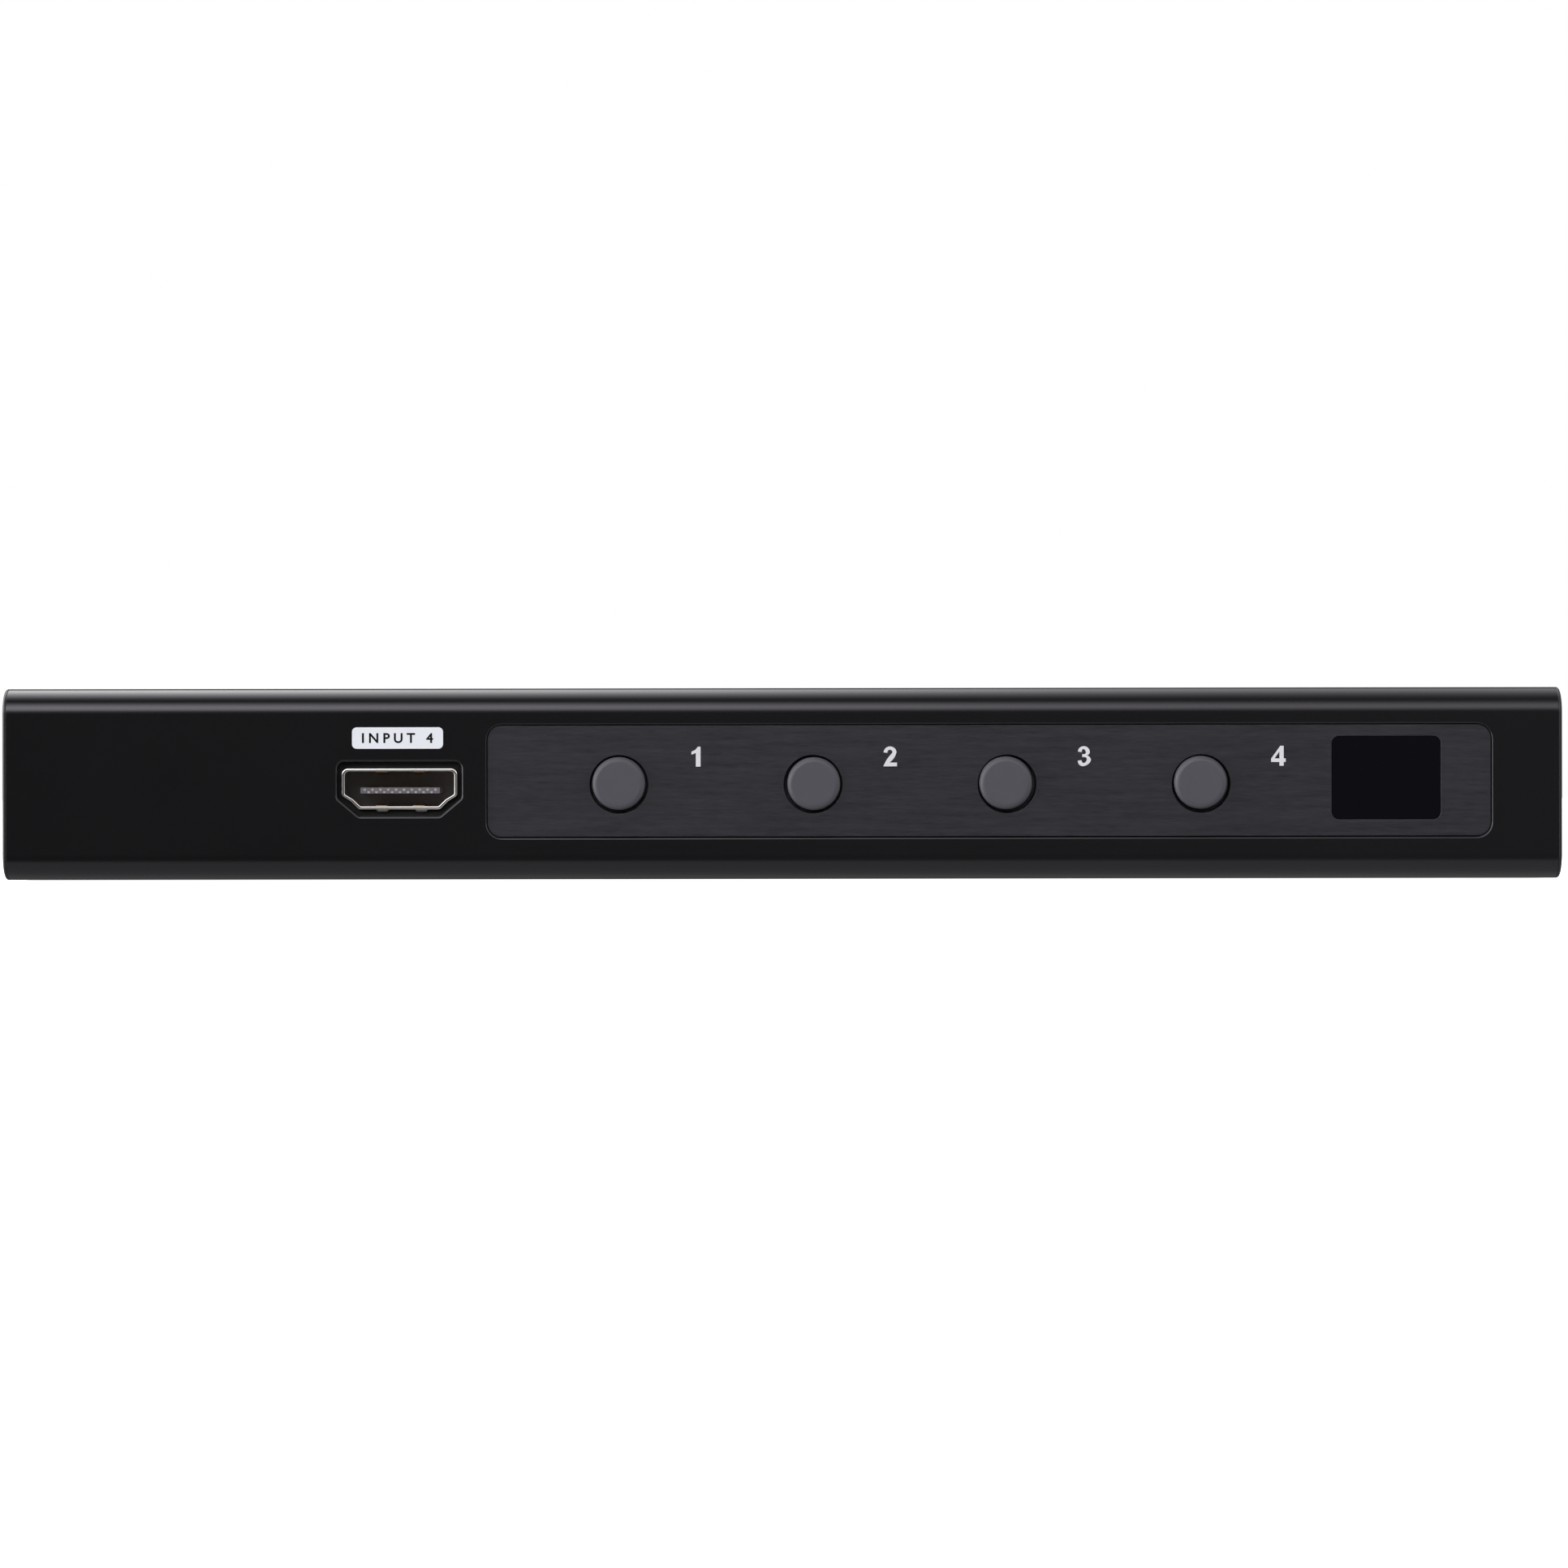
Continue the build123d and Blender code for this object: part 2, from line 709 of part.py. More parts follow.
def make_infrared_window():
    """Smoked window, pushed through from behind until its rim meets the bezel."""
    with BuildPart() as ir_window:
        with BuildSketch(Plane.front.offset(-bezel_back)):
            with Locations((window_x, window_z)):
                RectangleRounded(window_width - 2 * window_gap, window_height - 2 * window_gap,
                                 window_corner - window_gap)
        extrude(amount=bezel_back - plate_face - window_sink)
        with BuildSketch(Plane.front.offset(-bezel_back)):
            with Locations((window_x, window_z)):
                RectangleRounded(window_width + 2 * window_rim, window_height + 2 * window_rim,
                                 window_corner + window_rim)
        extrude(amount=-window_rim_thickness)
    save(ir_window, "ir_window")
    with BuildPart() as ir_receiver:
        receiver_front = bezel_back + window_rim_thickness + receiver_gap
        with BuildSketch(Plane.XY.offset(board_top)):
            with Locations((window_x, receiver_front + receiver_depth / 2)):
                Rectangle(receiver_width, receiver_depth)
        extrude(amount=receiver_height)
        chamfer(ir_receiver.edges().filter_by(Axis.Z), chip_chamfer)
        with Locations((window_x, receiver_front, board_top + receiver_lens_height)):
            Sphere(receiver_lens_radius)
    save(ir_receiver, "ir_receiver")


def number_face(number):
    """Outline of one of the printed numbers, with its lower left corner at the origin."""
    def scaled(shares):
        return [(across * number_height, up * number_height) for across, up in shares]

    with BuildSketch() as face:
        with BuildLine():
            if number == 1:
                Polyline(*scaled(one_shares), close=True)
            elif number == 2:
                ThreePointArc(*scaled(two_bowl_shares))
                Spline(*scaled(two_back_shares))
                Polyline(*scaled(two_foot_shares))
                Spline(*scaled(two_front_shares))
                ThreePointArc(*scaled(two_inner_shares))
                Line(scaled(two_inner_shares)[-1], scaled(two_bowl_shares)[0])
            elif number == 3:
                ThreePointArc(*scaled(three_top_shares))
                Spline(*scaled(three_waist_shares))
                Spline(*scaled(three_bottom_shares))
                Line(scaled(three_bottom_shares)[-1], scaled(three_inner_shares)[0])
                Spline(*scaled(three_inner_shares))
                Line(scaled(three_inner_shares)[-1], scaled(three_throat_shares)[0])
                Spline(*scaled(three_throat_shares))
                Line(scaled(three_throat_shares)[-1], scaled(three_top_shares)[0])
            else:
                Polyline(*scaled(four_shares), close=True)
        make_face()
        if number == 4:
            with BuildLine():
                Polyline(*scaled(four_counter_shares), close=True)
            make_face(mode=Mode.SUBTRACT)
    return face.sketch


def make_printed_marks():
    """White prints: the numbers on the plate and the label over the front port."""
    faces = [number_face(i + 1) for i in range(button_count)]
    with BuildPart() as printed_marks:
        with BuildSketch(Plane.front.offset(-plate_face)):
            for x, face in zip(number_places, faces):
                with Locations((x - face.bounding_box().center().X, number_z - number_height / 2)):
                    add(face)
        extrude(amount=print_thickness)
        with BuildSketch(Plane.front.offset(-front_y)):
            label_bottom = port_centre + port_height / 2 + label_rise
            with Locations((front_port_x + label_shift, label_bottom + label_height / 2)):
                RectangleRounded(label_width, label_height, label_corner)
        extrude(amount=print_thickness)
    save(printed_marks, "printed_marks")


def make_light_guides():
    """Clear guides that lead each indicator light to the back of its number, and the lights."""
    light_y = guide_back - guide_column_depth / 2
    column_bottom = board_top + light_height + light_gap
    with BuildPart() as number_lenses:
        for x in number_places:
            with BuildSketch(Plane.front.offset(-guide_back)):
                with Locations((x, number_z)):
                    Rectangle(guide_width, guide_height)
            extrude(amount=guide_depth)
            with BuildSketch(Plane.front.offset(-bezel_back)):
                with Locations((x, number_z)):
                    Rectangle(guide_width + 2 * guide_rim, guide_height + 2 * guide_rim)
            extrude(amount=-guide_rim_thickness)
            with BuildSketch(Plane.XY.offset(column_bottom)):
                with Locations((x, light_y)):
                    Rectangle(guide_width, guide_column_depth)
            extrude(amount=number_z - column_bottom)
        slopes = number_lenses.edges().filter_by(Axis.X).group_by(Axis.Y)[-1].sort_by(Axis.Z)
        chamfer(slopes[-button_count:], guide_column_depth)
    save(number_lenses, "number_lenses")
    with BuildPart() as status_leds:
        with BuildSketch(Plane.XY.offset(board_top)):
            with Locations(*[(x, light_y) for x in number_places]):
                Rectangle(light_width, light_depth)
        extrude(amount=light_height)
        chamfer(status_leds.faces().group_by(Axis.Z)[-1].edges(), light_gap)
    save(status_leds, "status_leds")


def make_button(number):
    """One push button: its cap and the plunger of the switch behind it."""
    nominal_x = button_places[number - 1]
    share_x, share_z = cap_offset_shares[number - 1]
    x = nominal_x + share_x * cap_guide_gap
    z = button_z + share_z * cap_guide_gap
    with BuildPart() as cap:
        with BuildSketch(Plane.front.offset(-cap_flange_face)):
            with Locations((x, z)):
                Circle(cap_radius)
        extrude(amount=cap_flange_face - cap_face)
        fillet(cap.edges().sort_by(Axis.Y)[0], cap_round)
        with BuildSketch(Plane.front.offset(-cap_flange_back)):
            with Locations((x, z)):
                Circle(cap_radius + cap_flange_width)
        extrude(amount=cap_flange_thickness)
        with BuildSketch(Plane.front.offset(-plunger_tip)):
            with Locations((nominal_x, button_z)):
                Circle(cap_boss_radius)
        extrude(amount=cap_boss_length)
    save(cap, f"button_cap_{number}")
    collar_face = switch_face_y + switch_face + plunger_collar_gap
    with BuildPart() as plunger:
        with BuildSketch(Plane.front.offset(-collar_face)):
            with Locations((nominal_x, button_z)):
                Circle(plunger_radius)
        extrude(amount=collar_face - plunger_tip)
        with BuildSketch(Plane.front.offset(-collar_face - plunger_collar)):
            with Locations((nominal_x, button_z)):
                Circle(plunger_collar_radius)
        extrude(amount=plunger_collar)
    save(plunger, f"switch_plunger_{number}")


def make_switches():
    """Fixed parts of the four switches: the bodies on the board and the spring domes in them."""
    chamber_face = switch_face_y + switch_face
    chamber_depth = plunger_collar_gap + plunger_collar + button_travel + chamber_room
    chamber_floor = chamber_face + chamber_depth
    with BuildPart() as switch_bodies:
        with BuildSketch(Plane.XY.offset(board_top)):
            with Locations(*[(x, switch_face_y + switch_depth / 2) for x in button_places]):
                Rectangle(switch_width, switch_depth)
        extrude(amount=switch_height)
        chamfer(switch_bodies.edges().filter_by(Axis.Z), switch_corner)
        with BuildSketch(Plane.front.offset(-chamber_floor)):
            with Locations(*[(x, button_z) for x in button_places]):
                Circle(switch_chamber_radius)
        extrude(amount=chamber_depth, mode=Mode.SUBTRACT)
        with BuildSketch(Plane.front.offset(-chamber_face)):
            with Locations(*[(x, button_z) for x in button_places]):
                Circle(plunger_radius + plunger_gap)
        extrude(amount=overrun, mode=Mode.SUBTRACT)
    save(switch_bodies, "switch_bodies")
    crown = chamber_face + plunger_collar_gap + plunger_collar
    rise = chamber_floor - crown
    with BuildPart() as switch_domes:
        for x in button_places:
            with BuildSketch(Plane(origin=(x, chamber_floor, button_z), x_dir=Plane.XY.x_dir,
                                   z_dir=Plane.XY.z_dir)):
                with BuildLine():
                    TangentArc((0, -rise), (dome_radius, 0), tangent=Plane.XY.x_dir)
                    Line((dome_radius, 0), (dome_radius - dome_sheet, 0))
                    TangentArc((0, dome_sheet - rise), (dome_radius - dome_sheet, 0),
                               tangent=Plane.XY.x_dir)
                    Line((0, dome_sheet - rise), (0, -rise))
                make_face()
            revolve(axis=Axis((x, chamber_floor, button_z), Plane.XY.y_dir))
    save(switch_domes, "switch_domes")


def port_mouths():
    """Name and mouth plane of each video socket."""
    front = mouth_at(Plane.front, front_port_x, front_y + front_port_setback)
    rear = [mouth_at(Plane.back, x, panel_face + rear_port_proud) for x in rear_port_places]
    return dict(zip(("input_1", "input_2", "input_3", "output"), rear)) | {"input_4": front}


def leg_places():
    """Centres of a socket's four shell legs: across from its middle and inward from its mouth."""
    across = (port_width - port_wall) / 2
    return [(side * across, depth) for side in (-1, 1) for depth in shell_leg_depths]


def make_port_shell(name, mouth):
    """Stamped shell: a ring with legs through the board and two spring fingers above and below."""
    slot_width = finger_width + 2 * finger_slot_gap
    slot_length = finger_root_depth - finger_tip_depth + finger_slot_gap
    slot_middle = finger_tip_depth - finger_slot_gap + slot_length / 2
    knee = finger_tip_depth + finger_curl_length
    with BuildPart() as shell:
        with BuildSketch(mouth):
            add(port_face())
            add(grown(port_face(), -port_wall), mode=Mode.SUBTRACT)
        extrude(amount=-port_depth)
        with BuildSketch(level_of(mouth, port_stand)):
            for side in (-1, 1):
                with Locations((side * finger_offset, slot_middle)):
                    Rectangle(slot_width, slot_length)
        extrude(amount=port_height, mode=Mode.SUBTRACT)
        for up, wall_face in ((-1, port_inner_top), (1, port_inner_bottom)):
            for side in (-1, 1):
                with BuildSketch(side_of(mouth, side * finger_offset - finger_width / 2)):
                    with BuildLine():
                        Polyline(
                            (finger_tip_depth, wall_face + up * (finger_dip - finger_curl)),
                            (knee, wall_face + up * finger_dip),
                            (finger_root_depth + finger_root_overlap, wall_face - up * sheet_gap),
                            (finger_root_depth + finger_root_overlap,
                             wall_face - up * (sheet_gap + finger_sheet)),
                            (knee, wall_face + up * (finger_dip - finger_sheet)),
                            (finger_tip_depth,
                             wall_face + up * (finger_dip - finger_curl - finger_sheet)),
                            close=True,
                        )
                    make_face()
                extrude(amount=finger_width)
        leg_bottom = board_thickness + shell_leg_reach
        leg_top = port_stand + port_height / 2
        with BuildSketch(level_of(mouth, leg_top)):
            with Locations(*leg_places()):
                Rectangle(port_wall, shell_leg_width)
        extrude(amount=-leg_top - leg_bottom)
    save(shell, f"{name}_shell")


def contact_strip(height):
    """Outline of one bent contact in the side plane: a blade, a drop to the board and a foot."""
    drop = port_depth + contact_tail
    start = tongue_setback + contact_setback
    with BuildSketch() as strip:
        with BuildLine():
            Polyline(
                (start, height),
                (start, height + contact_thickness),
                (drop + contact_thickness, height + contact_thickness),
                (drop + contact_thickness, contact_thickness),
                (drop + contact_thickness + contact_foot, contact_thickness),
                (drop + contact_thickness + contact_foot, 0),
                (drop, 0),
                (drop, height),
                close=True,
            )
        make_face()
    return strip.sketch


def make_port_contacts(name, mouth):
    """Two rows of contacts, the lower row shifted by half a pitch."""
    upper = tongue_rise + port_stand + tongue_thickness / 2 + contact_proud - contact_thickness
    lower = tongue_rise + port_stand - tongue_thickness / 2 - contact_proud
    with BuildPart() as contacts:
        for count, height in ((upper_contacts, upper), (lower_contacts, lower)):
            for i in range(count):
                across = (i - (count - 1) / 2) * contact_pitch - contact_width / 2
                with BuildSketch(side_of(mouth, across)):
                    add(contact_strip(height))
                extrude(amount=contact_width)
    save(contacts, f"{name}_contacts")
    return contacts.part


def make_port_core(name, mouth, contacts):
    """Moulded core that fills the rear of the shell and carries the contacts on its tongue."""
    with BuildPart() as core:
        with BuildSketch(mouth.offset(-cavity_depth)):
            add(grown(port_face(), -port_wall - screw_gap))
        extrude(amount=cavity_depth - port_depth)
        with BuildSketch(mouth.offset(-tongue_setback)):
            with Locations((0, port_stand + tongue_rise)):
                Rectangle(tongue_width, tongue_thickness)
        extrude(amount=tongue_setback - cavity_depth)
        add(contacts, mode=Mode.SUBTRACT)
    save(core, f"{name}_core")


def make_power_inlet():
    """Barrel inlet: body with its nose through the rear panel, centre pin and contact leaf."""
    mouth = mouth_at(Plane.back, inlet_x, panel_face + inlet_nose_proud)
    block_front = inlet_nose_proud + panel_sheet + inlet_panel_gap
    root_face = inlet_axis_height - inlet_bore_radius
    leaf_top = root_face - leaf_slot_depth / 2
    leaf_end = inlet_bore_depth + leaf_root_length
    with BuildPart() as dc_jack_pin:
        with BuildSketch(mouth.offset(-inlet_bore_depth)):
            with Locations((0, inlet_axis_height)):
                Circle(inlet_pin_radius)
        extrude(amount=inlet_bore_depth - inlet_pin_setback)
        fillet(dc_jack_pin.edges().sort_by(Axis.Y)[-1], inlet_pin_round)
        with BuildSketch(mouth.offset(-inlet_bore_depth)):
            with Locations((0, inlet_axis_height)):
                Circle(inlet_root_radius)
        extrude(amount=-inlet_root_length)
    save(dc_jack_pin, "dc_jack_pin")
    with BuildPart() as dc_jack_spring:
        with BuildSketch(side_of(mouth, -leaf_width / 2)):
            with BuildLine():
                Polyline(
                    (leaf_tip_depth, leaf_top),
                    (leaf_peak_depth, root_face + leaf_reach),
                    (leaf_bend_depth, leaf_top),
                    (leaf_end, leaf_top),
                    (leaf_end, leaf_top - leaf_sheet),
                    (leaf_bend_depth, leaf_top - leaf_sheet),
                    (leaf_peak_depth, root_face + leaf_reach - leaf_sheet),
                    (leaf_tip_depth, leaf_top - leaf_sheet),
                    close=True,
                )
            make_face()
        extrude(amount=leaf_width)
    save(dc_jack_spring, "dc_jack_spring")
    with BuildPart() as dc_jack_body:
        with BuildSketch(mouth.offset(-block_front)):
            with Locations((0, inlet_height / 2)):
                Rectangle(inlet_width, inlet_height)
        extrude(amount=-inlet_depth)
        chamfer(dc_jack_body.edges().filter_by(Axis.Y), inlet_corner)
        with BuildSketch(mouth):
            with Locations((0, inlet_axis_height)):
                Circle(inlet_nose_radius)
        extrude(amount=-block_front)
        with BuildSketch(mouth):
            with Locations((0, inlet_axis_height)):
                Circle(inlet_bore_radius)
        extrude(amount=-inlet_bore_depth, mode=Mode.SUBTRACT)
        chamfer(dc_jack_body.faces().sort_by(Axis.Y)[-1].inner_wires()[0].edges(), inlet_mouth_chamfer)
        with BuildSketch(mouth.offset(-leaf_tip_depth + leaf_slot_gap)):
            with Locations((0, root_face)):
                Rectangle(leaf_width + 2 * leaf_slot_gap, 2 * leaf_slot_depth)
        extrude(amount=leaf_tip_depth - leaf_slot_gap - inlet_bore_depth, mode=Mode.SUBTRACT)
        add(dc_jack_pin.part, mode=Mode.SUBTRACT)
        add(dc_jack_spring.part, mode=Mode.SUBTRACT)
    save(dc_jack_body, "dc_jack_body")


def serial_pin_places():
    """Across, height and drop depth of each contact of the serial port."""
    block_end = serial_length + serial_flange_sheet + serial_block_depth
    rows = ((serial_upper_pins, serial_row_gap / 2, serial_upper_reach),
            (serial_lower_pins, -serial_row_gap / 2, serial_lower_reach))
    return [
        ((i - (count - 1) / 2) * serial_pin_pitch, serial_axis + rise, block_end + reach)
        for count, rise, reach in rows
        for i in range(count)
    ]


def make_serial_port(mouth):
    """Nine-way serial port: shell and flange, insulator, rear block, contacts and jackscrews."""
    flange_front = serial_length
    flange_back = serial_length + serial_flange_sheet
    below = board_thickness + serial_tail_below
    with BuildPart() as serial_contacts:
        for across, height, drop in serial_pin_places():
            with BuildSketch(mouth.offset(-serial_face_setback - leg_gap)):
                with Locations((across, height)):
                    Circle(serial_barrel_radius)
            extrude(amount=-serial_barrel_length)
            with BuildSketch(mouth):
                with Locations((across, height)):
                    Circle(serial_barrel_bore)
            extrude(amount=-serial_bore_depth, mode=Mode.SUBTRACT)
            with BuildSketch(side_of(mouth, across - serial_tail / 2)):
                with BuildLine():
                    Polyline(
                        (serial_barrel_length, height - serial_tail / 2),
                        (serial_barrel_length, height + serial_tail / 2),
                        (drop + serial_tail / 2, height + serial_tail / 2),
                        (drop + serial_tail / 2, -below),
                        (drop - serial_tail / 2, -below),
                        (drop - serial_tail / 2, height - serial_tail / 2),
                        close=True,
                    )
                make_face()
            extrude(amount=serial_tail)
    save(serial_contacts, "serial_contacts")
    with BuildPart() as serial_shell:
        with BuildSketch(mouth.offset(-flange_front)):
            with Locations((0, serial_axis)):
                RectangleRounded(serial_flange_width, serial_flange_height, serial_flange_corner)
        extrude(amount=-serial_flange_sheet)
        with BuildSketch(mouth):
            add(serial_face())
        extrude(amount=-flange_front)
        with BuildSketch(mouth.offset(-flange_back)):
            with Locations((0, serial_axis)):
                with GridLocations(jack_spacing, jack_spacing, 2, 1):
                    Circle(nut_radius)
        extrude(amount=-nut_length)
        with BuildSketch(mouth):
            add(grown(serial_face(), -serial_wall))
            with Locations((0, serial_axis)):
                with GridLocations(jack_spacing, jack_spacing, 2, 1):
                    Circle(jack_stud_radius + screw_gap)
        extrude(amount=-flange_back - nut_length, mode=Mode.SUBTRACT)
    save(serial_shell, "serial_shell")
    with BuildPart() as serial_insulator:
        with BuildSketch(mouth.offset(-serial_face_setback)):
            add(grown(serial_face(), -serial_wall - screw_gap))
        extrude(amount=serial_face_setback - flange_back)
        with BuildSketch(mouth):
            with Locations(*[(across, height) for across, height, drop in serial_pin_places()]):
                Circle(serial_barrel_bore + leg_gap)
        extrude(amount=-serial_face_setback - leg_gap, mode=Mode.SUBTRACT)
        add(serial_contacts.part, mode=Mode.SUBTRACT)
        with BuildSketch(mouth):
            with Locations(*[(across, height) for across, height, drop in serial_pin_places()]):
                Circle(serial_barrel_bore)
        extrude(amount=-serial_face_setback - serial_bore_depth, mode=Mode.SUBTRACT)
    save(serial_insulator, "serial_insulator")
    with BuildPart() as serial_block:
        with BuildSketch(mouth.offset(-flange_back)):
            block_height = serial_axis + serial_block_rise
            with Locations((0, block_height / 2)):
                Rectangle(serial_block_width, block_height)
        extrude(amount=-serial_block_depth)
        add(serial_contacts.part, mode=Mode.SUBTRACT)
    save(serial_block, "serial_block")
    panel_outside = mouth.offset(panel_sheet - flange_front)
    with BuildPart() as serial_jackscrews:
        with BuildSketch(panel_outside):
            with Locations((0, serial_axis)):
                with GridLocations(jack_spacing, jack_spacing, 2, 1):
                    RegularPolygon(jack_across_flats / 2, side_count=6, major_radius=False)
        extrude(amount=jack_length)
        chamfer(serial_jackscrews.faces().group_by(Axis.Y)[-1].edges(), jack_chamfer)
        with BuildSketch(panel_outside):
            with Locations((0, serial_axis)):
                with GridLocations(jack_spacing, jack_spacing, 2, 1):
                    Circle(jack_stud_radius)
        extrude(amount=-panel_sheet - serial_flange_sheet - nut_length)
        with BuildSketch(panel_outside.offset(jack_length)):
            with Locations((0, serial_axis)):
                with GridLocations(jack_spacing, jack_spacing, 2, 1):
                    Circle(jack_thread_radius)
        extrude(amount=-jack_thread_depth, mode=Mode.SUBTRACT)
    save(serial_jackscrews, "serial_jackscrews")


def make_main_board(mouths, serial_mouth):
    """Circuit board on its standoffs, with a tab under the front port."""
    tab_right = front_port_x + port_width / 2 + shell_leg_width
    with BuildPart() as main_board:
        with BuildSketch(Plane.XY.offset(board_bottom)) as sheet:
            with BuildLine():
                Polyline(
                    (-board_half, board_tab_front),
                    (tab_right, board_tab_front),
                    (tab_right, board_front),
                    (board_half, board_front),
                    (board_half, board_rear),
                    (-board_half, board_rear),
                    close=True,
                )
            make_face()
            fillet(sheet.vertices(), board_corner)
            with Locations(*board_screw_places):
                Circle(board_screw_radius + board_screw_clearance, mode=Mode.SUBTRACT)
        extrude(amount=board_thickness)
        for mouth in mouths:
            with BuildSketch(level_of(mouth, 0)):
                with Locations(*leg_places()):
                    Rectangle(port_wall + 2 * leg_gap, shell_leg_width + 2 * leg_gap)
            extrude(amount=-board_thickness, mode=Mode.SUBTRACT)
        with BuildSketch(level_of(serial_mouth, 0)):
            with Locations(*[(across, drop) for across, height, drop in serial_pin_places()]):
                Circle(serial_tail / 2 + 2 * leg_gap)
        extrude(amount=-board_thickness, mode=Mode.SUBTRACT)
    save(main_board, "main_board")


def at_share(share):
    """Place on the board given as shares of the half width and half depth of the case."""
    return (share[0] * case_width / 2, share[1] * case_depth / 2)


def chip(places, size, height):
    """Flat square chips with chamfered tops and a dot at pin one."""
    with BuildPart() as chips:
        with BuildSketch(Plane.XY.offset(board_top)):
            with Locations(*places):
                Rectangle(size, size)
        extrude(amount=height)
        chamfer(chips.faces().group_by(Axis.Z)[-1].edges(), chip_chamfer)
        dot = chip_dot_inset - size / 2
        with Locations(*[(x + dot, y + dot, board_top + height) for x, y in places]):
            Hole(radius=chip_dot_radius, depth=chip_dot_depth)
    return chips


def make_chips(mouths):
    """Switch chip with its thermal pad and heat sink, equalisers and microcontroller."""
    save(chip([at_share(switch_chip_share)], switch_chip_size, switch_chip_height), "switch_ic")
    save(chip([at_share(controller_share)], controller_size, controller_height), "microcontroller")
    inward = port_depth + equaliser_step
    spots = [mouth.from_local_coords((0, 0, -inward)) for mouth in mouths]
    save(chip([(spot.X, spot.Y) for spot in spots], equaliser_size, equaliser_height),
         "equaliser_chips")
    x, y = at_share(switch_chip_share)
    pad_bottom = board_top + switch_chip_height
    with BuildPart() as thermal_pad:
        with BuildSketch(Plane.XY.offset(pad_bottom)):
            with Locations((x, y)):
                Rectangle(switch_chip_size - 2 * chip_chamfer, switch_chip_size - 2 * chip_chamfer)
        extrude(amount=pad_thickness)
    save(thermal_pad, "thermal_pad")
    with BuildPart() as heat_sink:
        with BuildSketch(Plane.XY.offset(pad_bottom + pad_thickness)):
            with Locations((x, y)):
                Rectangle(sink_size, sink_size)
        extrude(amount=sink_base)
        with BuildSketch(Plane.XY.offset(pad_bottom + pad_thickness + sink_base)):
            fin_pitch = (sink_size - sink_fin) / (sink_fins - 1)
            with Locations((x, y)):
                with GridLocations(fin_pitch, fin_pitch, sink_fins, 1):
                    Rectangle(sink_fin, sink_size)
        extrude(amount=sink_height - sink_base)
    save(heat_sink, "heat_sink")


def make_power_parts():
    """Regulators, inductor, electrolytic capacitors and crystals."""
    with BuildPart() as regulators:
        with BuildSketch(Plane.XY.offset(board_top)):
            with Locations(*[at_share(share) for share in regulator_shares]):
                Rectangle(regulator_width, regulator_depth)
        extrude(amount=regulator_height)
        chamfer(regulators.faces().group_by(Axis.Z)[-1].edges(), chip_chamfer)
        with BuildSketch(Plane.XY.offset(board_top)):
            for x, y in [at_share(share) for share in regulator_shares]:
                with Locations((x, y + (regulator_depth + regulator_tab_length) / 2)):
                    Rectangle(regulator_tab_width, regulator_tab_length)
        extrude(amount=regulator_tab_thickness)
    save(regulators, "regulators")
    with BuildPart() as inductor:
        with BuildSketch(Plane.XY.offset(board_top)):
            with Locations(at_share(inductor_share)):
                RectangleRounded(inductor_size, inductor_size, inductor_corner)
        extrude(amount=inductor_height)
        fillet(inductor.faces().sort_by(Axis.Z)[-1].edges(), chip_chamfer)
    save(inductor, "inductor")
    can_middle = board_top + capacitor_base_height
    with BuildPart() as electrolytic_capacitors:
        for place in [at_share(share) for share in capacitor_shares]:
            with BuildSketch(Plane.XY.offset(board_top)) as base:
                with Locations(place):
                    Rectangle(capacitor_base, capacitor_base)
                chamfer(base.vertices().group_by(Axis.X)[0], capacitor_base_chamfer)
            extrude(amount=capacitor_base_height)
            with BuildSketch(Plane.XY.offset(can_middle)):
                with Locations(place):
                    Circle(capacitor_radius - capacitor_groove)
            extrude(amount=capacitor_groove)
            with BuildSketch(Plane.XY.offset(can_middle + capacitor_groove)):
                with Locations(place):
                    Circle(capacitor_radius)
            extrude(amount=capacitor_height - capacitor_base_height - capacitor_groove)
        fillet(electrolytic_capacitors.faces().group_by(Axis.Z)[-1].edges(), capacitor_round)
    save(electrolytic_capacitors, "electrolytic_capacitors")
    with BuildPart() as crystals:
        with BuildSketch(Plane.XY.offset(board_top)):
            with Locations(*[at_share(share) for share in crystal_shares]):
                SlotOverall(crystal_length, crystal_width)
        extrude(amount=crystal_height)
        fillet(crystals.faces().group_by(Axis.Z)[-1].edges(), crystal_round)
    save(crystals, "crystals")


def make_chip_capacitors(mouths):
    """A row of small capacitors beside each equaliser."""
    inward = port_depth + equaliser_step + equaliser_size / 2 + small_part_row_gap
    with BuildPart() as chip_capacitors:
        for mouth in mouths:
            with BuildSketch(level_of(mouth, 0)):
                with Locations((0, inward)):
                    with GridLocations(small_part_pitch, small_part_pitch, small_parts_in_row, 1):
                        Rectangle(small_part_width, small_part_length)
            extrude(amount=small_part_height)
    save(chip_capacitors, "chip_capacitors")


os.makedirs("parts", exist_ok=True)
make_case_wrap()
make_rear_panel()
make_end_caps()
make_case_screws()
make_board_standoffs()
make_board_screws()
make_front_plate()
make_front_bezel()
make_infrared_window()
make_printed_marks()
make_light_guides()
for button_number in range(1, button_count + 1):
    make_button(button_number)
make_switches()
ports = port_mouths()
for port_name, port_mouth in ports.items():
    make_port_shell(port_name, port_mouth)
    port_contacts = make_port_contacts(port_name, port_mouth)
    make_port_core(port_name, port_mouth, port_contacts)
make_power_inlet()
serial_mouth = mouth_at(Plane.back, serial_x, panel_inner + serial_length)
make_serial_port(serial_mouth)
make_main_board(ports.values(), serial_mouth)
make_chips(ports.values())
make_power_parts()
make_chip_capacitors(ports.values())
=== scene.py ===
import json
import math
from contextlib import contextmanager

import bmesh
import bpy
from bpy.props import (FloatProperty, FloatVectorProperty, IntProperty, PointerProperty,
                       StringProperty)
from mathutils import Matrix, Vector

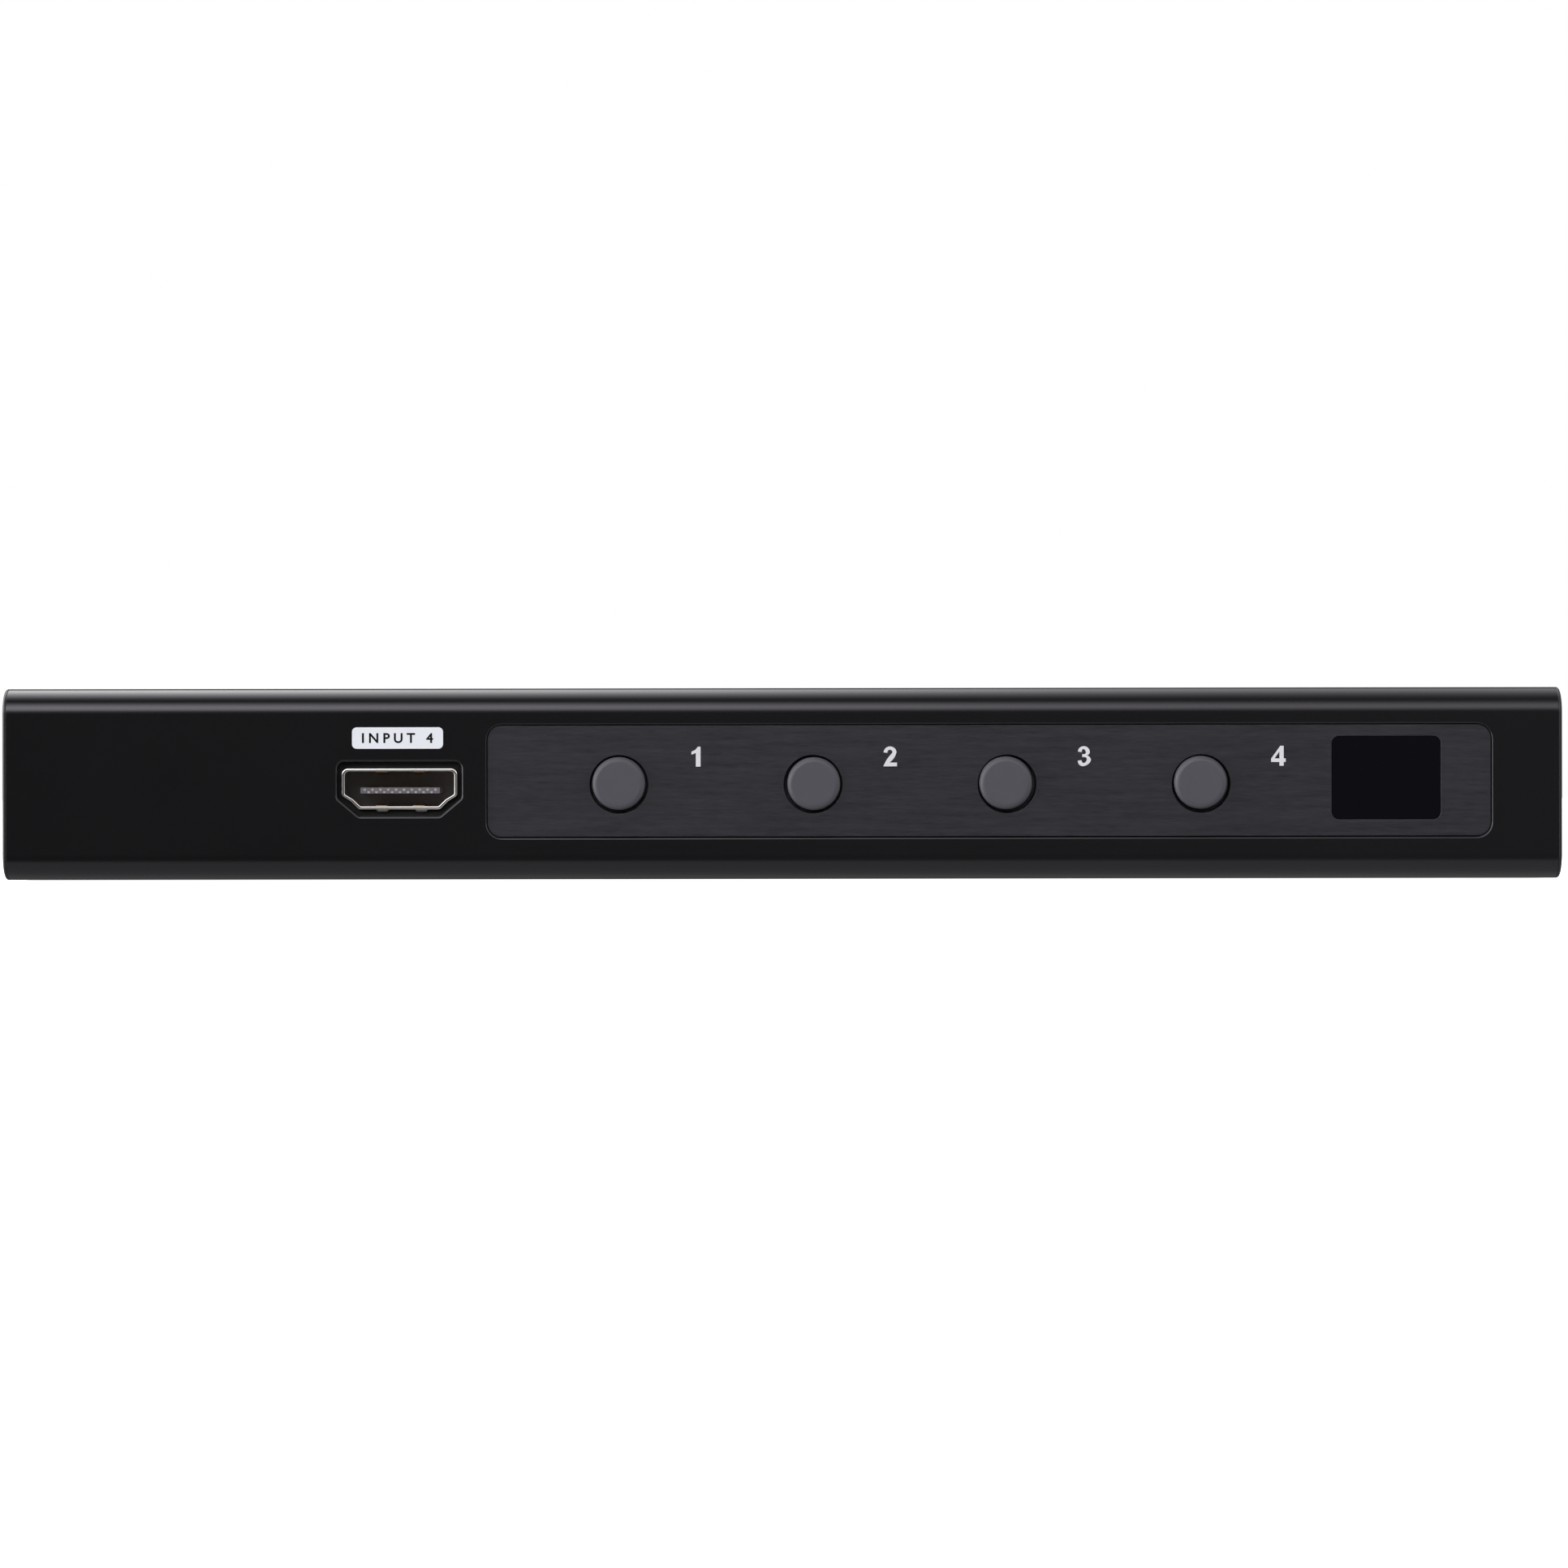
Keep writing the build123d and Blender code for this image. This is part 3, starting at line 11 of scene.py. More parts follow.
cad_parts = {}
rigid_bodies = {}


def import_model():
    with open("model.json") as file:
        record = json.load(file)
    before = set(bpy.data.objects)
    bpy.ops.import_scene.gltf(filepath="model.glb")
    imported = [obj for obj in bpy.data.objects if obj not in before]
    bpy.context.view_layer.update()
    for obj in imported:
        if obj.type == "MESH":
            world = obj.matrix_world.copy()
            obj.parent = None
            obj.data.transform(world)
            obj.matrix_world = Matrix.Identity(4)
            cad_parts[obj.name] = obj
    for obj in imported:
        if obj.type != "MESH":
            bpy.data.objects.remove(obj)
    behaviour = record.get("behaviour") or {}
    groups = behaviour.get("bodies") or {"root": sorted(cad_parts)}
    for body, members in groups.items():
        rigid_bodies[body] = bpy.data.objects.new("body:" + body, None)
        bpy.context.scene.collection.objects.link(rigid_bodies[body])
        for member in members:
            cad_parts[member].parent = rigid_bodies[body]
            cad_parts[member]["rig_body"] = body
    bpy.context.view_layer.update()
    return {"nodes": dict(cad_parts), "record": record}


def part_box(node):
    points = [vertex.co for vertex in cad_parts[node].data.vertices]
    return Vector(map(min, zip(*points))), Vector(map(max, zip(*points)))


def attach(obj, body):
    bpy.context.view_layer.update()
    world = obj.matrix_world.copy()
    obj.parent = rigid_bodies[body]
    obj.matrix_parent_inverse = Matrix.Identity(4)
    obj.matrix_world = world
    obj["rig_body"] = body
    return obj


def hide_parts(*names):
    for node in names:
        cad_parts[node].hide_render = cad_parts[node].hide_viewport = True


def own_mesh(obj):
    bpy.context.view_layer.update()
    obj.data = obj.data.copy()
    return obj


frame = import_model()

bl_info = {
    "name": "Switch box looks",
    "version": (1, 0, 0),
    "blender": (4, 5, 0),
    "location": "View3D > Sidebar > Switch box",
    "description": "Finishes, prints and a studio for a four-input video switch box",
    "category": "Object",
}

NODES = frame["nodes"]
SLOTS = {part["node"]: part["material_slot"] for part in frame["record"]["subparts"]}

PORTS = ("input_1", "input_2", "input_3", "input_4", "output")
FRONT_PORT = "input_4"
BUTTONS = (1, 2, 3, 4)
# node under each rear label, its words, and whether the label is over the node or low on the panel
REAR_LABELS = (("input_1_shell", "INPUT 1", True), ("input_2_shell", "INPUT 2", True),
               ("input_3_shell", "INPUT 3", True), ("output_shell", "OUTPUT", True),
               ("serial_shell", "SERIAL", False), ("dc_jack_body", "POWER", False))

MM = 0.001
WELD = 0.002 * MM  # points closer than this are one
FLAT_ANGLE = math.radians(0.4)
SHARP_ANGLE = math.radians(40)
ROLL_SLACK = 0.02 * MM  # how far off a roll a point may lie and still belong to it
ROLL_FACET = 0.05 * MM  # narrowest facet of a roll that is cut finer
SMALL_RINGS = 2  # rings of faces on the rounded edges of small parts
BORDER_RINGS = 5  # rings of faces on a rounded rim or border
BLOCK_ROUNDING = 1 / 5  # rounding of a small block, of its shortest side
CORNER_STEPS = 6  # straight pieces in a label's rounded corner
CURVE_STEPS = 4  # straight pieces in each curve of a letter
CAP_SHARE = 0.682  # height of a capital letter in the built-in font, of its size
LABEL_REACH = 1.1  # printed faces this many label widths from the left are the front label's
NOISE_SPAN = (0.3, 0.7)  # range that most values of a noise texture fall in

# where each softbox starts, is full, is still full and ends, in degrees from the horizon in front
# of the object, over its top; the one behind starts and stays full
OVERHEAD_ARC = (62, 117, 126, 152)
FRONT_ARC = (8, 28, 28, 60)
BELOW_ARC = (-165, -110, -40, -26)
BEHIND_ARC = (165, 178)
# sideways part of a direction, from -1 at the left to 1 at the right: where the long softboxes grow
# dim, and where the softboxes at the sides begin and are full
FADE = (-0.165, 0.13)
SIDES = (0.8, 0.97)

FLOOR_SIZE = 3.0  # from the middle to each side
FLOOR_CELLS = 12
FLOOR_DROP = 0.3 * MM  # gap under the case, so that its underside doesn't flicker
SENSOR = 36.0  # the lens is given for this width, in millimetres
NEAREST = 0.01  # the camera shows nothing that is closer


# ---- settings

def a_length(name, description, millimetres):
    """A size that is given in millimetres and kept in metres."""
    return FloatProperty(name=name, description=description, default=millimetres * MM,
                         unit="LENGTH", precision=6)


def a_brightness(name, description, value):
    return FloatProperty(name=name, description=description, default=value, min=0.0)


def a_colour(name, description, value):
    """A colour in linear light."""
    return FloatVectorProperty(name=name, description=description, default=value,
                               subtype="COLOR", min=0.0, max=1.0, precision=4)


class EdgeSettings(bpy.types.PropertyGroup):
    """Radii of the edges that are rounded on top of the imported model"""
    sheet: a_length("Sheet edge", "Rounding of cut sheet edges", 0.08)
    shell: a_length("Shell edge", "Rounding of the stamped socket shells", 0.05)
    cap: a_length("End cap edge", "Rounding of an end cap's outer border", 0.36)
    rim_out: a_length("Rim outside", "Rounding of a shell's rim, outside", 0.27)
    rim_in: a_length("Rim inside", "Rounding of a shell's rim, inside", 0.15)
    mouth_out: a_length("Mouth outside", "How far a shell's mouth is turned out", 0.05)
    mouth_in: a_length("Mouth inside", "How far a shell's mouth is thickened inside", 0.09)
    plate: a_length("Plate edge", "Rounding of the front plate's edges", 0.06)
    plate_fit: a_length("Plate fit", "How far the plate reaches into its gap", 0.14)
    moulded: a_length("Moulded edge", "Rounding of moulded plastic edges", 0.12)
    turned: a_length("Turned edge", "Rounding of screws and turned parts", 0.06)
    rings: IntProperty(name="Rings", description="Rings of faces on large parts' rounded edges",
                       default=3, min=1, max=6)
    roll_cuts: IntProperty(name="Roll cuts", description="Extra cuts in each facet of the rolls",
                           default=4, min=0, max=8)
    roll_radius: a_length("Roll radius", "Outer radius of the rolled front edges", 3.3)


class PrintSettings(bpy.types.PropertyGroup):
    """Wording and size of the labels"""
    front_text: StringProperty(name="Front label", description="Text over the front port",
                               default="INPUT 4")
    letter_height: a_length("Letter height", "Height of a capital letter", 1.19)
    letter_spacing: FloatProperty(name="Letter spacing", description="Spacing between letters",
                                  default=1.55, min=0.5, max=3.0)
    letter_weight: a_length("Letter weight", "Amount added round each stroke", 0.042)
    film: a_length("Ink thickness", "Thickness of printed letters", 0.012)
    label_film: a_length("Label thickness", "Thickness of a label, front and rear", 0.04)
    label_width: a_length("Label width", "Width of a label, front and rear", 11.66)
    label_height: a_length("Label height", "Height of a label, front and rear", 2.75)
    label_corner: a_length("Label corner", "Corner radius of a rear label", 0.6)
    label_rise: a_length("Label rise", "Gap between a video port and its label", 2.46)
    low_rise: a_length("Low label", "Height of a low label's middle on the rear panel", 6.325)


class SocketSettings(bpy.types.PropertyGroup):
    """Small pieces that are added to the video sockets"""
    # Foam rings are near-black sheets round the sockets: painted shade in the gaps round the
    # shells.
    foam_gap: a_length("Foam gap", "Gap between a foam ring and its neighbours", 0.03)
    foam_depth: a_length("Front foam", "Depth of the front socket's foam ring", 0.62)
    foam_depth_rear: a_length("Rear foam", "Depth of a rear socket's foam ring", 0.42)
    foam_width: a_length("Foam width", "Width of a foam ring round its shell", 1.3)
    contacts: IntProperty(name="Contacts", description="Number of contacts in a video socket",
                          default=19, min=2)
    tongue_middle: a_length("Tongue", "Height of the middle of the tongue", 11.45)
    end_width: a_length("End width", "Width of a contact's end", 0.3)
    end_height: a_length("End height", "Height of a contact's end", 0.26)
    end_gap: a_length("End gap", "Gap between the two rows of contact ends", 0.06)
    end_proud: a_length("End proud", "How far a contact's end stands out", 0.05)
    shell_sheet: a_length("Shell sheet", "Thickness of a shell's sheet", 0.3)
    finger_offset: a_length("Finger offset", "Finger's middle from the port's middle", 2.4)
    finger_reach: a_length("Finger reach", "Half the width of a finger", 0.78)
    finger_start: a_length("Finger start", "Depth at which the fingers start", 1.2)
    tab_left: a_length("Left tab", "Middle of the left tab from the port's middle", 2.2)
    tab_right: a_length("Right tab", "Middle of the right tab from the port's middle", 2.8)
    tab_width: a_length("Tab width", "Width of a tab", 1.7)
    tab_height: a_length("Tab height", "How far a tab reaches under the shell", 0.26)
    tab_setback: a_length("Tab setback", "Distance of a tab behind the shell's mouth", 0.25)
    tab_sheet: a_length("Tab sheet", "Thickness of a tab", 0.25)


class ColourSettings(bpy.types.PropertyGroup):
    """Colours of the finishes that show"""
    case: a_colour("Case", "Baked coat of the case wrap", (0.005, 0.0048, 0.0054))
    end_cap: a_colour("End caps", "Plastic of the end caps", (0.008, 0.008, 0.0088))
    panel: a_colour("Rear panel", "Baked coat of the rear panel", (0.009, 0.009, 0.0095))
    plate: a_colour("Front plate", "Brushed metal of the plate", (0.0188, 0.0178, 0.0248))
    button: a_colour("Buttons", "Paint of the button caps", (0.082, 0.0795, 0.095))
    number: a_colour("Numbers", "Ink of the printed numbers", (0.78, 0.78, 0.815))
    label: a_colour("Labels", "Film of the labels", (0.9, 0.925, 0.985))
    letter: a_colour("Letters", "Ink of the letters on the labels", (0.003, 0.003, 0.004))
    shell: a_colour("Shells", "Plating of the socket shells", (0.82, 0.79, 0.76))
    finger: a_colour("Fingers", "Metal of the shells' spring fingers", (0.42, 0.29, 0.17))
    # Grey plastic, made lighter than it is: painted light in the dim socket cavities.
    core: a_colour("Cores", "Plastic of the socket cores", (0.15, 0.134, 0.146))
    contact: a_colour("Contacts", "Plating of the contacts", (0.86, 0.62, 0.28))
    contact_end: a_colour("Contact ends", "Plating of the contacts' ends", (0.5, 0.5, 0.56))
    # Near-black, painted shade: these rings fill the gaps round the sockets.
    foam: a_colour("Foam", "Foam rings round the sockets", (0.006, 0.006, 0.0065))


class LightSettings(bpy.types.PropertyGroup):
    """Studio light, as brightness seen in a mirror where white is one"""
    overhead: a_brightness("Overhead", "Brightness of the overhead softbox at its left end", 4.8)
    overhead_right: a_brightness("Overhead right", "Brightness at its right end", 1.15)
    front: a_brightness("Front", "Brightness of the front softbox at its left end", 4.0)
    front_right: a_brightness("Front right", "Brightness at its right end", 1.75)
    left: a_brightness("Left", "Brightness of the softbox on the left", 4.0)
    right: a_brightness("Right", "Brightness of the softbox on the right", 0.7)
    behind: a_brightness("Behind", "Brightness of the softbox behind the object", 0.7)
    below: a_brightness("Below", "Brightness of the floor in front of the object", 0.38)
    room: a_brightness("Room", "Brightness of the rest of the studio on the left", 0.065)
    room_right: a_brightness("Room right", "Brightness of the rest on the right", 0.135)
    backdrop: a_brightness("Backdrop", "Brightness of the backdrop in the picture", 1.0)


class CameraSettings(bpy.types.PropertyGroup):
    """Where the picture is taken from"""
    distance: FloatProperty(name="Distance", description="Distance from the front of the case",
                            default=0.56, unit="LENGTH")
    lens: FloatProperty(name="Lens", description="Focal length", default=100.33, unit="CAMERA")
    aim: FloatVectorProperty(name="Aim", description="Point that the picture is centred on",
                             default=(0.22 * MM, -37.5 * MM, 12.24 * MM), unit="LENGTH",
                             precision=5)
    roll: FloatProperty(name="Roll", description="Roll of the camera",
                        default=math.radians(-0.0865), unit="ROTATION", precision=5)


# ---- finishes

class Graph:
    """A tree of shader nodes that starts empty."""

    def __init__(self, tree):
        self.tree = tree
        self.tree.nodes.clear()

    def node(self, kind, **settings):
        made = self.tree.nodes.new(kind)
        for key, value in settings.items():
            setattr(made, key, value)
        return made

    def feed(self, socket, value):
        """Links a socket to another, or sets it to a value."""
        if isinstance(value, bpy.types.NodeSocket):
            self.tree.links.new(value, socket)
        elif isinstance(value, tuple) and len(value) == 3 and socket.type == "RGBA":
            socket.default_value = (*value, 1.0)
        else:
            socket.default_value = value

    def remap(self, value, low, high, start=0.0, end=1.0, smooth=False):
        """Takes the range from start to end to the range from low to high."""
        made = self.node("ShaderNodeMapRange",
                         interpolation_type="SMOOTHSTEP" if smooth else "LINEAR")
        self.feed(made.inputs["Value"], value)
        for key, number in (("From Min", start), ("From Max", end),
                            ("To Min", low), ("To Max", high)):
            made.inputs[key].default_value = number
        return made.outputs["Result"]

    def join(self, operation, *values):
        made = self.node("ShaderNodeMath", operation=operation)
        for socket, value in zip(made.inputs, values):
            self.feed(socket, value)
        return made.outputs[0]

    def shared(self, first, second, share):
        """Sum of two values, with the first one's share in it."""
        return self.join("ADD", self.join("MULTIPLY", first, share),
                         self.join("MULTIPLY", second, 1 - share))

    def blend(self, factor, first, second):
        """Colour between two. The node keeps its colours in sockets 6 and 7, and in output 2."""
        made = self.node("ShaderNodeMix", data_type="RGBA")
        for number, value in ((0, factor), (6, first), (7, second)):
            self.feed(made.inputs[number], value)
        return made.outputs[2]


class Finish(Graph):
    """Builds one material from noise that is placed in the object's own space, in metres."""

    def __init__(self, name, **shader_values):
        self.material = bpy.data.materials.new(name)
        self.material.use_nodes = True
        super().__init__(self.material.node_tree)
        output = self.node("ShaderNodeOutputMaterial")
        self.shader = self.node("ShaderNodeBsdfPrincipled")
        self.feed(output.inputs["Surface"], self.shader.outputs["BSDF"])
        self.place = self.node("ShaderNodeTexCoord").outputs["Object"]
        self.normal = None
        for key, value in shader_values.items():
            self.shader.inputs[key.replace("_", " ")].default_value = value

    def grid(self, size, stretch=(1, 1, 1), shift=(0, 0, 0)):
        """Object coordinates in units of size, drawn out by stretch along each axis."""
        mapping = self.node("ShaderNodeMapping")
        self.feed(mapping.inputs["Vector"], self.place)
        mapping.inputs["Location"].default_value = shift
        mapping.inputs["Scale"].default_value = [1 / (size * s) for s in stretch]
        return mapping.outputs["Vector"]

    def noise(self, size, stretch=(1, 1, 1), detail=2.0, rough=0.5, shift=(0, 0, 0)):
        made = self.node("ShaderNodeTexNoise")
        self.feed(made.inputs["Vector"], self.grid(size, stretch, shift))
        for key, value in (("Scale", 1.0), ("Detail", detail), ("Roughness", rough)):
            made.inputs[key].default_value = value
        return made.outputs["Fac"]

    def colour(self, value):
        self.feed(self.shader.inputs["Base Color"], value)

    def gloss(self, value):
        self.feed(self.shader.inputs["Roughness"], value)

    def relief(self, height, depth):
        """Adds relief whose highest point stands depth over its lowest."""
        made = self.node("ShaderNodeBump")
        made.inputs["Strength"].default_value = 1.0
        made.inputs["Distance"].default_value = depth
        self.feed(made.inputs["Height"], height)
        if self.normal is not None:
            self.feed(made.inputs["Normal"], self.normal)
        self.normal = made.outputs["Normal"]
        self.feed(self.shader.inputs["Normal"], self.normal)


def shade(colour, amount):
    return tuple(part * amount for part in colour)


def mottled(name, colour, rough, change=0.12, patch=4 * MM, grain=0.3 * MM, depth=0.001 * MM,
            **values):
    """Plain surface with broad changes of tone and gloss and a fine grain."""
    look = Finish(name, **values)
    tone = look.noise(patch, detail=3.0)
    look.colour(look.blend(tone, shade(colour, 1 - change), shade(colour, 1 + change)))
    fine = look.noise(grain, detail=3.0, rough=0.6)
    look.gloss(look.remap(look.shared(tone, fine, 0.5), *rough, *NOISE_SPAN))
    look.relief(fine, depth)
    return look.material


def powder_coat(name, colour, rough, peel=0.55 * MM, depth=0.0011 * MM):
    """Baked satin coat: low orange peel under a finer grain, with faint changes of gloss."""
    look = Finish(name, IOR=1.5, Specular_IOR_Level=0.53, Specular_Tint=(0.95, 0.92, 1.0, 1.0))
    patch = look.noise(14 * MM, detail=3.0)
    fine = look.noise(0.12 * MM, detail=2.0)
    look.colour(look.blend(patch, shade(colour, 0.95), shade(colour, 1.06)))
    look.gloss(look.remap(look.shared(patch, fine, 0.2), *rough, *NOISE_SPAN))
    look.relief(look.noise(peel, detail=1.0), depth)
    look.relief(fine, depth * 0.3)
    return look.material


def brushed_metal(name, colour, rough, streak, size=0.12 * MM, change=0.2, depth=0.0006 * MM,
                  metallic=1.0, **values):
    """Metal drawn with an abrasive: fine streaks in tone, gloss and relief along one axis."""
    look = Finish(name, Metallic=metallic, **values)
    fine = look.noise(size, stretch=streak, detail=4.0, rough=0.65)
    broad = look.noise(size * 4, stretch=streak, detail=2.0, shift=(3, 7, 11))
    streaks = look.shared(fine, broad, 0.65)
    spread = look.remap(streaks, 0.0, 1.0, *NOISE_SPAN)
    look.colour(look.blend(spread, shade(colour, 1 - change), shade(colour, 1 + change)))
    look.gloss(look.remap(streaks, *rough, *NOISE_SPAN))
    look.relief(streaks, depth)
    return look.material


def solder_mask(name):
    """Green board: copper tracks show as raised lines under the mask, between rows of holes."""
    look = Finish(name, Metallic=0.0, Coat_Weight=0.4, Coat_Roughness=0.15)
    brick = look.node("ShaderNodeTexBrick", offset=0.35, squash=1.0)
    look.feed(brick.inputs["Vector"], look.grid(3.2 * MM, stretch=(3.0, 1, 1)))
    for key, value in (("Scale", 2.0), ("Mortar Size", 0.06), ("Mortar Smooth", 0.3)):
        brick.inputs[key].default_value = value
    tracks = brick.outputs["Fac"]
    tone = look.noise(9 * MM, detail=3.0)
    mask = look.blend(tone, (0.008, 0.075, 0.03), (0.011, 0.1, 0.042))
    look.colour(look.blend(tracks, mask, (0.02, 0.17, 0.075)))
    look.gloss(look.remap(tone, 0.28, 0.4, *NOISE_SPAN))
    look.relief(tracks, 0.02 * MM)
    return look.material


def smoked_plastic(name):
    """Near-black infrared window: polished, with faint moulding swirls."""
    look = Finish(name, IOR=1.5, Specular_IOR_Level=0.35)
    swirl = look.noise(6 * MM, stretch=(2, 1, 1), detail=3.0)
    look.colour(look.blend(swirl, (0.0008, 0.0006, 0.002), (0.0014, 0.001, 0.003)))
    look.gloss(look.remap(swirl, 0.06, 0.12, *NOISE_SPAN))
    look.relief(swirl, 0.002 * MM)
    return look.material


def make_finishes():
    """Every finish by its slot in the record, then those of pieces that are made here alone."""
    hues = bpy.context.scene.switchbox_colours
    return {
        "black_coated_steel": powder_coat("black_powder_coat", hues.case, (0.16, 0.22)),
        "black_end_cap": mottled("black_end_cap_plastic", hues.end_cap, (0.34, 0.44),
                                 grain=0.2 * MM, depth=0.0015 * MM),
        "black_panel_steel": powder_coat("black_panel_coat", hues.panel, (0.34, 0.42)),
        "black_screws": mottled("black_oxide", (0.022, 0.022, 0.024), (0.3, 0.45),
                                grain=0.15 * MM, Metallic=0.7),
        "zinc_steel": brushed_metal("zinc_plate", (0.55, 0.56, 0.58), (0.25, 0.38), (1, 1, 8),
                                    change=0.1),
        "brushed_plate": brushed_metal("brushed_black_metal", hues.plate, (0.34, 0.5), (18, 1, 1),
                                       size=0.11 * MM, change=0.5, depth=0.0017 * MM,
                                       metallic=0.2, Specular_IOR_Level=0.6),
        "adhesive_film": mottled("adhesive_film", (0.55, 0.52, 0.46), (0.5, 0.6)),
        "black_bezel_plastic": mottled("black_bezel_plastic", (0.012, 0.012, 0.013), (0.4, 0.5)),
        "smoked_window": smoked_plastic("smoked_window_plastic"),
        "receiver_epoxy": mottled("receiver_epoxy", (0.012, 0.008, 0.012), (0.12, 0.2)),
        "white_print": mottled("white_print_ink", hues.number, (0.5, 0.6), change=0.03,
                               patch=0.8 * MM, grain=0.05 * MM, depth=0.0008 * MM),
        "clear_guide": mottled("clear_guide_plastic", (0.8, 0.82, 0.84), (0.1, 0.2), change=0.03,
                               Transmission_Weight=0.7, IOR=1.49),
        "led_resin": mottled("indicator_resin", (0.75, 0.72, 0.55), (0.2, 0.3)),
        "switch_plastic": mottled("switch_body_plastic", (0.02, 0.02, 0.022), (0.4, 0.5)),
        "spring_steel": brushed_metal("spring_steel", (0.5, 0.5, 0.5), (0.2, 0.3), (6, 1, 1)),
        "plunger_plastic": mottled("plunger_plastic", (0.5, 0.48, 0.42), (0.4, 0.5)),
        "button_paint": mottled("grey_button_paint", hues.button, (0.42, 0.5), change=0.04,
                                patch=1.6 * MM, grain=0.09 * MM, depth=0.0012 * MM, IOR=1.45),
        "circuit_board": solder_mask("green_solder_mask"),
        "chip_epoxy": mottled("chip_epoxy", (0.015, 0.015, 0.016), (0.55, 0.7), grain=0.1 * MM,
                              depth=0.003 * MM),
        "thermal_pad": mottled("thermal_pad", (0.35, 0.42, 0.5), (0.7, 0.8)),
        "anodised_aluminium": brushed_metal("anodised_heat_sink", (0.03, 0.03, 0.033),
                                            (0.35, 0.5), (1, 20, 1), metallic=0.6),
        "ferrite": mottled("ferrite", (0.045, 0.045, 0.05), (0.55, 0.7), grain=0.1 * MM,
                           depth=0.004 * MM),
        "capacitor_can": brushed_metal("capacitor_can", (0.7, 0.7, 0.71), (0.2, 0.32), (1, 8, 1),
                                       change=0.08),
        "crystal_can": brushed_metal("crystal_can", (0.66, 0.66, 0.67), (0.22, 0.34), (8, 1, 1),
                                     change=0.08),
        "capacitor_ceramic": mottled("capacitor_ceramic", (0.32, 0.24, 0.16), (0.5, 0.6)),
        "inlet_plastic": mottled("inlet_plastic", (0.014, 0.014, 0.015), (0.38, 0.48)),
        "contact_plating": brushed_metal("gold_contact_plate", hues.contact, (0.2, 0.32),
                                         (1, 10, 1), change=0.1),
        "socket_steel": brushed_metal("nickel_socket_plate", hues.shell, (0.12, 0.2), (1, 9, 1),
                                      size=0.06 * MM, change=0.08, depth=0.0002 * MM),
        # Core plastic lighter than it is: painted light in the dim socket cavities.
        "socket_plastic": mottled("socket_core_plastic", hues.core, (0.4, 0.5), grain=0.08 * MM),
        "serial_plastic": mottled("serial_block_plastic", (0.014, 0.014, 0.015), (0.42, 0.52)),
        # Near-black rings that paint the shade in the gaps round the sockets.
        "foam": mottled("black_foam", hues.foam, (0.85, 0.95), grain=0.25 * MM, depth=0.03 * MM),
        "label": mottled("white_label_film", hues.label, (0.42, 0.5), change=0.015,
                         patch=1.5 * MM, grain=0.06 * MM, depth=0.0006 * MM),
        "ink": mottled("black_label_ink", hues.letter, (0.5, 0.6), change=0.15, patch=0.4 * MM,
                       grain=0.05 * MM, depth=0.0005 * MM, Specular_IOR_Level=0.1),
        "finger": brushed_metal("bronze_spring_fingers", hues.finger, (0.25, 0.38), (1, 9, 1),
                                size=0.06 * MM, change=0.15),
        "contact_end": brushed_metal("plated_contact_ends", hues.contact_end, (0.45, 0.6),
                                     (1, 1, 4), size=0.05 * MM, change=0.1),
    }


FINISH = {}


def finish(slot):
    """The finish for a slot. All are made when the first is asked for."""
    if not FINISH:
        FINISH.update(make_finishes())
    return FINISH[slot]


# ---- mesh work

@contextmanager
def opened(mesh):
    """A mesh that is open for changes, which are kept at the end."""
    work = bmesh.new()
    work.from_mesh(mesh)
    yield work
    work.to_mesh(mesh)
    work.free()


def bare_mesh(node):
    """Vertices and faces of a CAD node, joined again along the borders of its CAD faces."""
    source = NODES[node].data
    mesh = bpy.data.meshes.new(node + "_skin")
    mesh.from_pydata([v.co for v in source.vertices], [], [p.vertices[:] for p in source.polygons])
    with opened(mesh) as work:
        bmesh.ops.remove_doubles(work, verts=work.verts, dist=WELD)
        bmesh.ops.dissolve_limit(work, angle_limit=FLAT_ANGLE, verts=work.verts, edges=work.edges)
    return mesh


def in_scene(name, data):
    """A new object in the scene."""
    obj = bpy.data.objects.new(name, data)
    bpy.context.scene.collection.objects.link(obj)
    return obj


def coat(mesh, look):
    mesh.materials.clear()
    mesh.materials.append(look)


def bake(obj):
    """Replaces an object's mesh with what its modifiers make of it."""
    graph = bpy.context.evaluated_depsgraph_get()
    result = bpy.data.meshes.new_from_object(obj.evaluated_get(graph), depsgraph=graph)
    old = obj.data
    obj.modifiers.clear()
    obj.data = result
    bpy.data.meshes.remove(old)


def smooth_skin(obj, edge, rings):
    """Rounds the sharp edges, then sets normals that keep flat faces flat."""
    if edge > 0:
        bevel = obj.modifiers.new("edges", "BEVEL")
        bevel.limit_method = "ANGLE"
        bevel.angle_limit = SHARP_ANGLE
        bevel.width = edge
        bevel.segments = rings
        bevel.use_clamp_overlap = False
        bake(obj)
    for face in obj.data.polygons:
        face.use_smooth = True
    obj.data.set_sharp_from_angle(angle=SHARP_ANGLE)
    obj.modifiers.new("normals", "WEIGHTED_NORMAL").keep_sharp = True
    bake(obj)


def place(mesh, name, slot, body, look=None, edge=None, rings=SMALL_RINGS):
    """Makes a piece of a mesh that is already in place, with its finish, on its body.

    With an edge given, even of zero, its sharp edges are rounded and its normals smoothed."""
    piece = in_scene(name, mesh)
    if edge is not None:
        smooth_skin(piece, edge, rings)
    coat(piece.data, look or finish(slot))
    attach(piece, body)
    return piece


def dressed(node, edge=0.0, rings=SMALL_RINGS, reshape=None):
    """A copy of a CAD node with rounded edges and smooth normals, standing for the node."""
    mesh = bare_mesh(node)
    if reshape:
        reshape(mesh)
    piece = place(mesh, node + "_skin", SLOTS[node], NODES[node]["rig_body"], edge=edge,
                  rings=rings)
    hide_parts(node)
    return piece


def painted(*nodes):
    """Gives CAD nodes that stay as they are the finish of their slots."""
    for node in nodes:
        coat(NODES[node].data, finish(SLOTS[node]))


